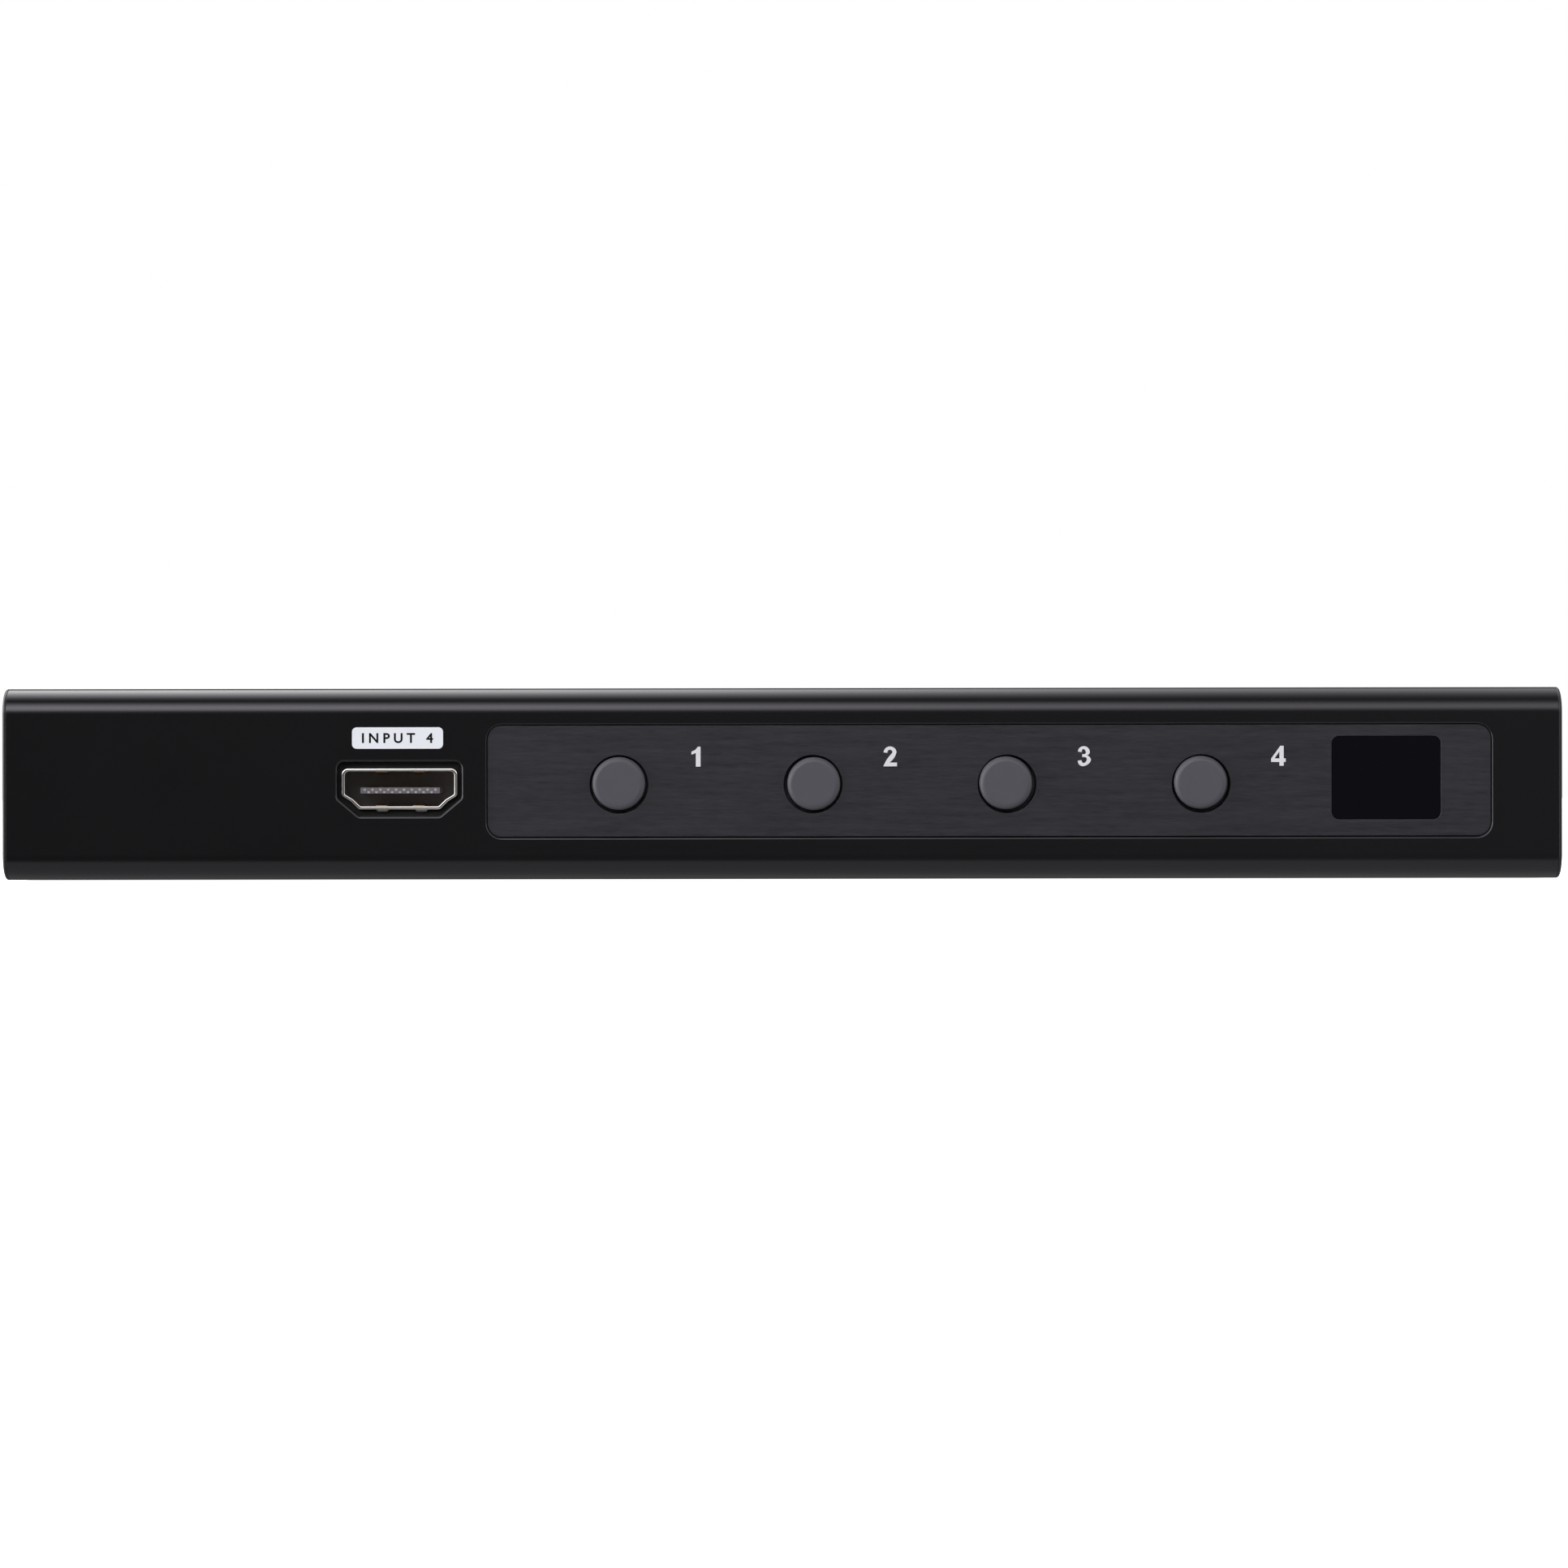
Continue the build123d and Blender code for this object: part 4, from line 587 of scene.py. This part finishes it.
def finer_rolls(mesh):
    """Cuts the facets of the rolled front edges finer and puts the new points on the roll."""
    edges = bpy.context.scene.switchbox_edges
    radius = edges.roll_radius
    lo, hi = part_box("case_wrap")
    centres = [(lo[1] + radius, lo[2] + radius), (lo[1] + radius, hi[2] - radius)]

    def off_roll(vert, centre):
        return abs(math.hypot(vert.co.y - centre[0], vert.co.z - centre[1]) - radius)

    def is_facet(edge):
        a, b = (v.co for v in edge.verts)
        return (math.hypot(a.y - b.y, a.z - b.z) > ROLL_FACET and abs(a.x - b.x) < WELD
                and any(all(off_roll(v, centre) < ROLL_SLACK and v.co.y <= centre[0] + WELD
                            for v in edge.verts) for centre in centres))

    with opened(mesh) as work:
        facets = [edge for edge in work.edges if is_facet(edge)]
        if edges.roll_cuts and facets:
            made = bmesh.ops.subdivide_edges(work, edges=facets, cuts=edges.roll_cuts,
                                             use_grid_fill=False)
            for vert in made["geom_inner"]:
                if isinstance(vert, bmesh.types.BMVert):
                    y, z = min(centres, key=lambda centre: off_roll(vert, centre))
                    out = Vector((vert.co.y - y, vert.co.z - z))
                    out *= radius / out.length
                    vert.co.y, vert.co.z = y + out.x, z + out.y


def outlines_at(mesh, y):
    """Closed outlines of a mesh's flat faces at a depth, as lists of (x, z), the widest first."""
    work = bmesh.new()
    work.from_mesh(mesh)
    flat = {face for face in work.faces if all(abs(v.co.y - y) < WELD for v in face.verts)}
    following = {}
    for face in flat:
        for loop in face.loops:
            if sum(near in flat for near in loop.edge.link_faces) == 1:
                following[loop.vert] = loop.link_loop_next.vert
    outlines = []
    while following:
        vert = next(iter(following))
        outline = []
        while vert in following:
            outline.append((vert.co.x, vert.co.z))
            vert = following.pop(vert)
        outlines.append(outline)
    work.free()
    return sorted(outlines, key=lambda points: max(points)[0] - min(points)[0], reverse=True)


def extent(outline):
    """Middle of an outline, across and up, and then its width and height."""
    xs, zs = zip(*outline)
    return ((min(xs) + max(xs)) / 2, (min(zs) + max(zs)) / 2,
            max(xs) - min(xs), max(zs) - min(zs))


def swollen(outline, amount):
    """An outline drawn out from its middle so that each side moves by an amount."""
    middle_x, middle_z, width, height = extent(outline)
    wider, taller = 1 + 2 * amount / width, 1 + 2 * amount / height
    return [(middle_x + (x - middle_x) * wider, middle_z + (z - middle_z) * taller)
            for x, z in outline]


def move_outline(mesh, outline, amount, depths):
    """Moves the mesh's points that lie on an outline outwards by an amount, between two depths."""
    places = dict(zip(outline, swollen(outline, amount)))
    for vert in mesh.vertices:
        moved = places.get((vert.co.x, vert.co.z))
        if moved and depths[0] - WELD < vert.co.y < depths[1] + WELD:
            vert.co.x, vert.co.z = moved


def round_border(mesh, axis, level, radius, wanted=lambda spot, normal: True):
    """Rounds the sharp borders of a mesh's flat faces at one level along an axis.

    A border is rounded when the test agrees to its middle and to the normal of the face beyond."""
    with opened(mesh) as work:
        flat = {face for face in work.faces
                if all(abs(v.co[axis] - level) < WELD for v in face.verts)}
        sharp = []
        for edge in work.edges:
            beyond = [face for face in edge.link_faces if face not in flat]
            if (len(beyond) == 1 and len(edge.link_faces) == 2
                    and edge.calc_face_angle() > SHARP_ANGLE
                    and wanted((edge.verts[0].co + edge.verts[1].co) / 2, beyond[0].normal)):
                sharp.append(edge)
        bmesh.ops.bevel(work, geom=sharp, offset=radius, segments=BORDER_RINGS, profile=0.5,
                        affect="EDGES", clamp_overlap=False)


def turned_mouth(mesh):
    """Thickens the sheet of a socket's shell at its mouth and rounds the rim, as stamping does."""
    edges = bpy.context.scene.switchbox_edges
    ys = [v.co.y for v in mesh.vertices]
    mouth = min(ys) if min(ys) < 0 else max(ys)
    outer, inner = outlines_at(mesh, mouth)[:2]
    move_outline(mesh, outer, edges.mouth_out, (mouth, mouth))
    move_outline(mesh, inner, -edges.mouth_in, (mouth, mouth))
    middle_x, middle_z = extent(outer)[:2]
    middle = Vector((middle_x, mouth, middle_z))
    for radius, side in ((edges.rim_out, 1), (edges.rim_in, -1)):
        round_border(mesh, 1, mouth, radius,
                     lambda spot, normal: normal.dot(spot - middle) * side > 0)


def rounded_end(mesh):
    """Cuts an end cap's rolls finer and rounds the border of its outer face."""
    finer_rolls(mesh)
    outer = max((v.co.x for v in mesh.vertices), key=abs)
    round_border(mesh, 0, outer, bpy.context.scene.switchbox_edges.cap)


def fitted_plate(mesh):
    """Draws the front plate's outline out into the gap of its window."""
    ys = [v.co.y for v in mesh.vertices]
    outer = outlines_at(mesh, min(ys))[0]
    move_outline(mesh, outer, bpy.context.scene.switchbox_edges.plate_fit, (min(ys), max(ys)))


# ---- prints

FACING_FRONT = Matrix.Rotation(math.radians(90), 4, "X")
FACING_REAR = Matrix.Rotation(math.radians(180), 4, "Z") @ FACING_FRONT


def stand(mesh, spot, facing):
    """Puts a flat mesh upright at a spot, facing the front or the rear."""
    mesh.transform(Matrix.Translation(spot) @ facing)
    return mesh


def label_tile():
    """A rear label: a thin rounded rectangle in the XY plane, from zero up."""
    prints = bpy.context.scene.switchbox_prints
    corner = prints.label_corner
    points = []
    for right, up, start in ((1, 1, 0), (-1, 1, 90), (-1, -1, 180), (1, -1, 270)):
        for i in range(CORNER_STEPS + 1):
            angle = math.radians(start + 90 * i / CORNER_STEPS)
            points.append((right * (prints.label_width / 2 - corner) + corner * math.cos(angle),
                           up * (prints.label_height / 2 - corner) + corner * math.sin(angle)))
    mesh = bpy.data.meshes.new("tile")
    with opened(mesh) as work:
        face = work.faces.new([work.verts.new((x, y, 0)) for x, y in points])
        lifted = bmesh.ops.extrude_face_region(work, geom=[face])["geom"]
        bmesh.ops.translate(work, verts=[v for v in lifted if isinstance(v, bmesh.types.BMVert)],
                            vec=(0, 0, prints.label_film))
        bmesh.ops.recalc_face_normals(work, faces=work.faces)
    return mesh


def lettering(text):
    """Mesh of a line of printed letters in the XY plane, centred on the origin."""
    prints = bpy.context.scene.switchbox_prints
    curve = bpy.data.curves.new("letters", "FONT")
    curve.body = text
    curve.size = prints.letter_height / CAP_SHARE
    curve.space_character = prints.letter_spacing
    curve.bevel_depth = prints.letter_weight
    curve.bevel_resolution = 0
    curve.resolution_u = CURVE_STEPS
    holder = in_scene("letters", curve)
    graph = bpy.context.evaluated_depsgraph_get()
    mesh = bpy.data.meshes.new_from_object(holder.evaluated_get(graph), depsgraph=graph)
    bpy.data.objects.remove(holder)
    bpy.data.curves.remove(curve)
    middle_x, middle_y = extent([v.co.xy for v in mesh.vertices])[:2]
    flatten = Matrix.Scale(prints.film / (2 * prints.letter_weight), 4, (0, 0, 1))
    mesh.transform(Matrix.Translation((-middle_x, -middle_y, prints.film / 2)) @ flatten)
    return mesh


def join_meshes(name, meshes):
    """One mesh holding several."""
    joined = bpy.data.meshes.new(name)
    with opened(joined) as work:
        for mesh in meshes:
            work.from_mesh(mesh)
            bpy.data.meshes.remove(mesh)
    return joined


# ---- small pieces

def middle_of(node, axis=0):
    """Middle of a node's box along an axis, from left to right unless another is given."""
    lo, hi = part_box(node)
    return (lo[axis] + hi[axis]) / 2


def shell_mouth(port):
    """Depth of the mouth of a socket's shell, and its outer outline there."""
    lo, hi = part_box(f"{port}_shell")
    mouth = lo[1] if port == FRONT_PORT else hi[1]
    mesh = bare_mesh(f"{port}_shell")
    outline = outlines_at(mesh, mouth)[0]
    bpy.data.meshes.remove(mesh)
    return mouth, outline


def shade_ring(port):
    """Foam ring round a socket, near-black, between the sheet it comes through and the board's
    edge: painted shade that fills the gap round the shell.
    """
    sizes = bpy.context.scene.switchbox_sockets
    board_lo, board_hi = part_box("main_board")
    if port == FRONT_PORT:
        near_board = board_lo[1] - sizes.foam_gap
        span = near_board - sizes.foam_depth, near_board
    else:
        near_board = board_hi[1] + sizes.foam_gap
        span = near_board, near_board + sizes.foam_depth_rear
    outline = shell_mouth(port)[1]
    inner, outer = swollen(outline, sizes.foam_gap), swollen(outline, sizes.foam_width)
    mesh = bpy.data.meshes.new(f"{port}_gasket")
    with opened(mesh) as work:
        inner_front, inner_rear, outer_front, outer_rear = [
            [work.verts.new((x, y, z)) for x, z in points]
            for points in (inner, outer) for y in span]
        for one, other in ((inner_front, outer_front), (outer_front, outer_rear),
                           (outer_rear, inner_rear), (inner_rear, inner_front)):
            for i in range(len(outline)):
                j = (i + 1) % len(outline)
                work.faces.new((one[i], one[j], other[j], other[i]))
        bmesh.ops.recalc_face_normals(work, faces=work.faces)
    place(mesh, f"{port}_gasket", "black_bezel_plastic", "root", finish("foam"))


def small_block(work, lo, hi, taper=0.0):
    """Adds a block between two corners, its lower end narrowed by a taper on each side."""
    made = bmesh.ops.create_cube(work, size=1.0)["verts"]
    for vert in made:
        near = [low if part < 0 else high for part, low, high in zip(vert.co, lo, hi)]
        if vert.co.z < 0:
            near[0] += taper if vert.co.x < 0 else -taper
        vert.co = near
    edges = {edge for vert in made for edge in vert.link_edges}
    bmesh.ops.bevel(work, geom=list(edges), segments=SMALL_RINGS, affect="EDGES",
                    offset=min(high - low for low, high in zip(lo, hi)) * BLOCK_ROUNDING)


def contact_ends(port):
    """Plated ends of the contacts, in two staggered rows on the front of the tongue."""
    sizes = bpy.context.scene.switchbox_sockets
    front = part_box(f"{port}_core")[0][1]
    lo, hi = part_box(f"{port}_contacts")
    pitch = (hi[0] - lo[0] - sizes.end_width) / (sizes.contacts - 1)
    mesh = bpy.data.meshes.new(f"{port}_contact_ends")
    with opened(mesh) as work:
        for i in range(sizes.contacts):
            x = lo[0] + i * pitch
            top = sizes.tongue_middle + (sizes.end_height if i % 2 == 0 else -sizes.end_gap)
            small_block(work, (x, front - sizes.end_proud, top - sizes.end_height),
                        (x + sizes.end_width, front, top))
    place(mesh, f"{port}_contact_ends", "contact_plating", "root", finish("contact_end"))


def bronze_fingers(shell, port):
    """Gives the spring fingers in a shell their bronze finish."""
    sizes = bpy.context.scene.switchbox_sockets
    mouth, outline = shell_mouth(port)
    middle = middle_of(f"{port}_shell")
    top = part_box(f"{port}_shell")[1][2] - sizes.shell_sheet
    bottom = min(z for _, z in outline) + sizes.shell_sheet
    shell.data.materials.append(finish("finger"))
    for face in shell.data.polygons:
        x, y, z = face.center
        if (bottom + WELD < z < top - WELD and abs(y - mouth) > sizes.finger_start
                and abs(abs(x - middle) - sizes.finger_offset) < sizes.finger_reach):
            face.material_index = 1


def shell_tabs(port):
    """Two stamped tabs turned down from the shell's lower edge, just inside the case opening."""
    sizes = bpy.context.scene.switchbox_sockets
    mouth, outline = shell_mouth(port)
    middle = middle_of(f"{port}_shell")
    bottom = min(z for _, z in outline)
    near = mouth + sizes.tab_setback
    mesh = bpy.data.meshes.new(f"{port}_tabs")
    with opened(mesh) as work:
        for x in (middle - sizes.tab_left, middle + sizes.tab_right):
            small_block(work, (x - sizes.tab_width / 2, near, bottom - sizes.tab_height),
                        (x + sizes.tab_width / 2, near + sizes.tab_sheet, bottom),
                        taper=sizes.tab_height)
    place(mesh, f"{port}_tabs", "socket_steel", "root")


def spring_domes():
    """One snap dome under each plunger, cut from the node that holds them all, kept in its rest
    shape.
    """
    for number in BUTTONS:
        plunger = f"switch_plunger_{number}"
        low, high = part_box(plunger)
        mesh = bare_mesh("switch_domes")
        with opened(mesh) as work:
            others = [face for face in work.faces
                      if not low[0] < face.calc_center_median().x < high[0]]
            bmesh.ops.delete(work, geom=others, context="FACES")
        dome = place(mesh, f"switch_dome_{number}", "spring_steel", "root", edge=0.0)
        if number == BUTTONS[0]:
            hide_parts("switch_domes")
        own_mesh(dome)


# ---- operators

class SWITCHBOX_OT_case(bpy.types.Operator):
    """Coated case wrap, moulded end caps and the rear panel"""
    bl_idname = "switchbox.case"
    bl_label = "Case"

    def execute(self, context):
        edges = context.scene.switchbox_edges
        for node, reshape in (("case_wrap", finer_rolls), ("left_end_cap", rounded_end),
                              ("right_end_cap", rounded_end), ("rear_panel", None)):
            dressed(node, edges.sheet, edges.rings, reshape)
        return {"FINISHED"}


class SWITCHBOX_OT_fixings(bpy.types.Operator):
    """Case screws, board screws and the board's standoffs"""
    bl_idname = "switchbox.fixings"
    bl_label = "Fixings"

    def execute(self, context):
        for node in ("case_screws", "board_screws", "board_standoffs"):
            dressed(node, context.scene.switchbox_edges.turned)
        return {"FINISHED"}


class SWITCHBOX_OT_plate(bpy.types.Operator):
    """Brushed front plate, what holds it, and the infrared window and receiver"""
    bl_idname = "switchbox.plate"
    bl_label = "Front plate"

    def execute(self, context):
        edges = context.scene.switchbox_edges
        dressed("front_plate", edges.plate, edges.rings, fitted_plate)
        dressed("ir_window")
        dressed("front_bezel", edges.moulded)
        dressed("ir_receiver")
        painted("plate_adhesive", "bezel_tape")
        return {"FINISHED"}


class SWITCHBOX_OT_buttons(bpy.types.Operator):
    """Button caps, and the switches with their domes and plungers"""
    bl_idname = "switchbox.buttons"
    bl_label = "Buttons"

    def execute(self, context):
        edges = context.scene.switchbox_edges
        for number in BUTTONS:
            dressed(f"button_cap_{number}")
            dressed(f"switch_plunger_{number}", edges.turned)
        dressed("switch_bodies", edges.turned)
        spring_domes()
        return {"FINISHED"}


class SWITCHBOX_OT_prints(bpy.types.Operator):
    """Printed numbers, the front label with its letters, and the rear labels"""
    bl_idname = "switchbox.prints"
    bl_label = "Prints"

    def execute(self, context):
        prints = context.scene.switchbox_prints
        marks = dressed("printed_marks")
        label_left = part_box("printed_marks")[0][0]
        marks.data.materials.append(finish("label"))
        for face in marks.data.polygons:
            if face.center.x < label_left + prints.label_width * LABEL_REACH:
                face.material_index = 1

        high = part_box(f"{FRONT_PORT}_shell")[1][2] + prints.label_rise + prints.label_height / 2
        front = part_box("case_wrap")[0][1] - prints.label_film
        spot = (label_left + prints.label_width / 2, front, high)
        place(stand(lettering(prints.front_text), spot, FACING_FRONT), "front_label_letters",
              "white_print", "root", finish("ink"))

        panel_lo, panel_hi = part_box("rear_panel")
        tiles, words = [], []
        for node, text, over_node in REAR_LABELS:
            x = middle_of(node)
            z = high if over_node else panel_lo[2] + prints.low_rise
            tiles.append(stand(label_tile(), (x, panel_hi[1], z), FACING_REAR))
            words.append(stand(lettering(text), (x, panel_hi[1] + prints.label_film, z),
                               FACING_REAR))
        for name, meshes, look in (("rear_labels", tiles, "label"),
                                   ("rear_label_letters", words, "ink")):
            place(join_meshes(name, meshes), name, "white_print", "root", finish(look))
        painted("number_lenses", "status_leds")
        return {"FINISHED"}


class SWITCHBOX_OT_sockets(bpy.types.Operator):
    """Five video sockets: stamped shells, moulded cores and their contacts"""
    bl_idname = "switchbox.sockets"
    bl_label = "Video sockets"

    def execute(self, context):
        edges = context.scene.switchbox_edges
        for port in PORTS:
            shell = dressed(f"{port}_shell", edges.shell, edges.rings, turned_mouth)
            bronze_fingers(shell, port)
            painted(f"{port}_core", f"{port}_contacts")
            # a near-black ring round the shell paints the shade in its gap
            shade_ring(port)
        contact_ends(FRONT_PORT)
        shell_tabs(FRONT_PORT)
        return {"FINISHED"}


class SWITCHBOX_OT_inlet(bpy.types.Operator):
    """Power inlet with its pin and spring"""
    bl_idname = "switchbox.inlet"
    bl_label = "Power inlet"

    def execute(self, context):
        edges = context.scene.switchbox_edges
        dressed("dc_jack_body", edges.moulded)
        dressed("dc_jack_pin", edges.turned)
        painted("dc_jack_spring")
        return {"FINISHED"}


class SWITCHBOX_OT_serial(bpy.types.Operator):
    """Serial port with its insulator, contacts and jackscrews"""
    bl_idname = "switchbox.serial"
    bl_label = "Serial port"

    def execute(self, context):
        edges = context.scene.switchbox_edges
        dressed("serial_shell", edges.shell)
        dressed("serial_jackscrews", edges.turned)
        painted("serial_insulator", "serial_block", "serial_contacts")
        return {"FINISHED"}


class SWITCHBOX_OT_board(bpy.types.Operator):
    """Circuit board, chips, heat sink and the small parts on the board"""
    bl_idname = "switchbox.board"
    bl_label = "Circuit board"

    def execute(self, context):
        painted("main_board", "switch_ic", "microcontroller", "equaliser_chips", "thermal_pad",
                "heat_sink", "regulators", "inductor", "electrolytic_capacitors", "crystals",
                "chip_capacitors")
        return {"FINISHED"}


def studio_world(lights):
    """Soft light from long softboxes that run along the object, in a dim room with a pale floor.

    The overhead and front softboxes grow dimmer towards the right. The picture shows none of
    this, only a white backdrop."""
    world = bpy.data.worlds.new("studio")
    bpy.context.scene.world = world
    world.use_nodes = True
    graph = Graph(world.node_tree)
    split = graph.node("ShaderNodeSeparateXYZ")
    graph.feed(split.inputs[0], graph.node("ShaderNodeTexCoord").outputs["Generated"])
    x, y, z = split.outputs
    angle = graph.join("ARCTAN2", z, graph.join("MULTIPLY", y, -1.0))

    def rise(value, start, end):
        return graph.remap(value, 0.0, 1.0, math.radians(start), math.radians(end), smooth=True)

    def softbox(arc, left, right):
        start, full, still_full, end = arc
        strip = graph.join("MULTIPLY", rise(angle, start, full), rise(angle, end, still_full))
        return graph.join("MULTIPLY", strip, graph.remap(x, left, right, *FADE, smooth=True))

    def at_side(outward, strength):
        return graph.remap(outward, 0.0, strength, *SIDES, smooth=True)

    around = graph.remap(x, lights.room, lights.room_right, *FADE, smooth=True)
    behind = rise(graph.join("ABSOLUTE", angle), *BEHIND_ARC)
    for light in (softbox(OVERHEAD_ARC, lights.overhead, lights.overhead_right),
                  softbox(FRONT_ARC, lights.front, lights.front_right),
                  softbox(BELOW_ARC, lights.below, lights.below),
                  graph.join("MULTIPLY", behind, lights.behind),
                  at_side(x, lights.right),
                  at_side(graph.join("MULTIPLY", x, -1.0), lights.left)):
        around = graph.join("ADD", around, light)

    mix = graph.node("ShaderNodeMixShader")
    graph.feed(mix.inputs[0], graph.node("ShaderNodeLightPath").outputs["Is Camera Ray"])
    for socket, strength in ((mix.inputs[1], around), (mix.inputs[2], lights.backdrop)):
        background = graph.node("ShaderNodeBackground")
        graph.feed(background.inputs["Color"], (1.0, 1.0, 1.0))
        graph.feed(background.inputs["Strength"], strength)
        graph.feed(socket, background.outputs[0])
    graph.feed(graph.node("ShaderNodeOutputWorld").inputs["Surface"], mix.outputs[0])


def studio_floor(brightness):
    """Pale floor that shows in the picture as bright as the backdrop."""
    mesh = bpy.data.meshes.new("floor")
    with opened(mesh) as work:
        bmesh.ops.create_grid(work, x_segments=FLOOR_CELLS, y_segments=FLOOR_CELLS,
                              size=FLOOR_SIZE)
    floor = in_scene("floor", mesh)
    floor.location = (0, 0, -FLOOR_DROP)
    look = Finish("pale_floor", Emission_Color=(1, 1, 1, 1), Emission_Strength=brightness)
    tone = look.noise(0.2, detail=2.0)
    look.colour(look.blend(tone, (0.78, 0.78, 0.79), (0.8, 0.8, 0.81)))
    look.gloss(look.remap(tone, 0.8, 0.9))
    mesh.materials.append(look.material)
    for ray in ("diffuse", "glossy", "transmission", "shadow"):
        setattr(floor, "visible_" + ray, False)


def studio_camera(view):
    """Camera that looks at the front of the case."""
    camera = bpy.data.cameras.new("camera")
    camera.lens = view.lens
    camera.sensor_width = SENSOR
    camera.clip_start = NEAREST
    shot = in_scene("camera", camera)
    away = Vector((0.0, -view.distance, 0.0))
    shot.matrix_world = (Matrix.Translation(Vector(view.aim) + away)
                         @ (-away).to_track_quat("-Z", "Y").to_matrix().to_4x4()
                         @ Matrix.Rotation(view.roll, 4, "Z"))
    bpy.context.scene.camera = shot


class SWITCHBOX_OT_studio(bpy.types.Operator):
    """Floor, lights, backdrop and camera"""
    bl_idname = "switchbox.studio"
    bl_label = "Studio"

    def execute(self, context):
        scene = context.scene
        scene.view_settings.view_transform = "Standard"
        scene.view_settings.look = "None"
        studio_world(scene.switchbox_lights)
        studio_floor(scene.switchbox_lights.backdrop)
        studio_camera(scene.switchbox_camera)
        return {"FINISHED"}


class SWITCHBOX_PT_panel(bpy.types.Panel):
    """Lists the steps in the order that they are made"""
    bl_idname = "SWITCHBOX_PT_panel"
    bl_label = "Switch box"
    bl_space_type = "VIEW_3D"
    bl_region_type = "UI"
    bl_category = "Switch box"

    def draw(self, context):
        for step in STEPS:
            self.layout.operator(step.bl_idname)
        for group in SETTINGS:
            box = self.layout.box()
            values = getattr(context.scene, group)
            for name in values.bl_rna.properties.keys():
                if name not in ("rna_type", "name"):
                    box.prop(values, name)


STEPS = (SWITCHBOX_OT_case, SWITCHBOX_OT_fixings, SWITCHBOX_OT_plate, SWITCHBOX_OT_buttons,
         SWITCHBOX_OT_prints, SWITCHBOX_OT_sockets, SWITCHBOX_OT_inlet, SWITCHBOX_OT_serial,
         SWITCHBOX_OT_board, SWITCHBOX_OT_studio)
SETTINGS = {
    "switchbox_edges": EdgeSettings,
    "switchbox_prints": PrintSettings,
    "switchbox_sockets": SocketSettings,
    "switchbox_colours": ColourSettings,
    "switchbox_lights": LightSettings,
    "switchbox_camera": CameraSettings,
}


def register():
    for kind in (*SETTINGS.values(), *STEPS, SWITCHBOX_PT_panel):
        bpy.utils.register_class(kind)
    for name, kind in SETTINGS.items():
        setattr(bpy.types.Scene, name, PointerProperty(type=kind))


def unregister():
    for name in SETTINGS:
        delattr(bpy.types.Scene, name)
    for kind in reversed((*SETTINGS.values(), *STEPS, SWITCHBOX_PT_panel)):
        bpy.utils.unregister_class(kind)


def main():
    register()
    for step in STEPS:
        group, name = step.bl_idname.split(".")
        result = getattr(getattr(bpy.ops, group), name)()
        if result != {"FINISHED"}:
            raise RuntimeError(f"{step.bl_label} didn't finish")


if __name__ == "__main__":
    main()
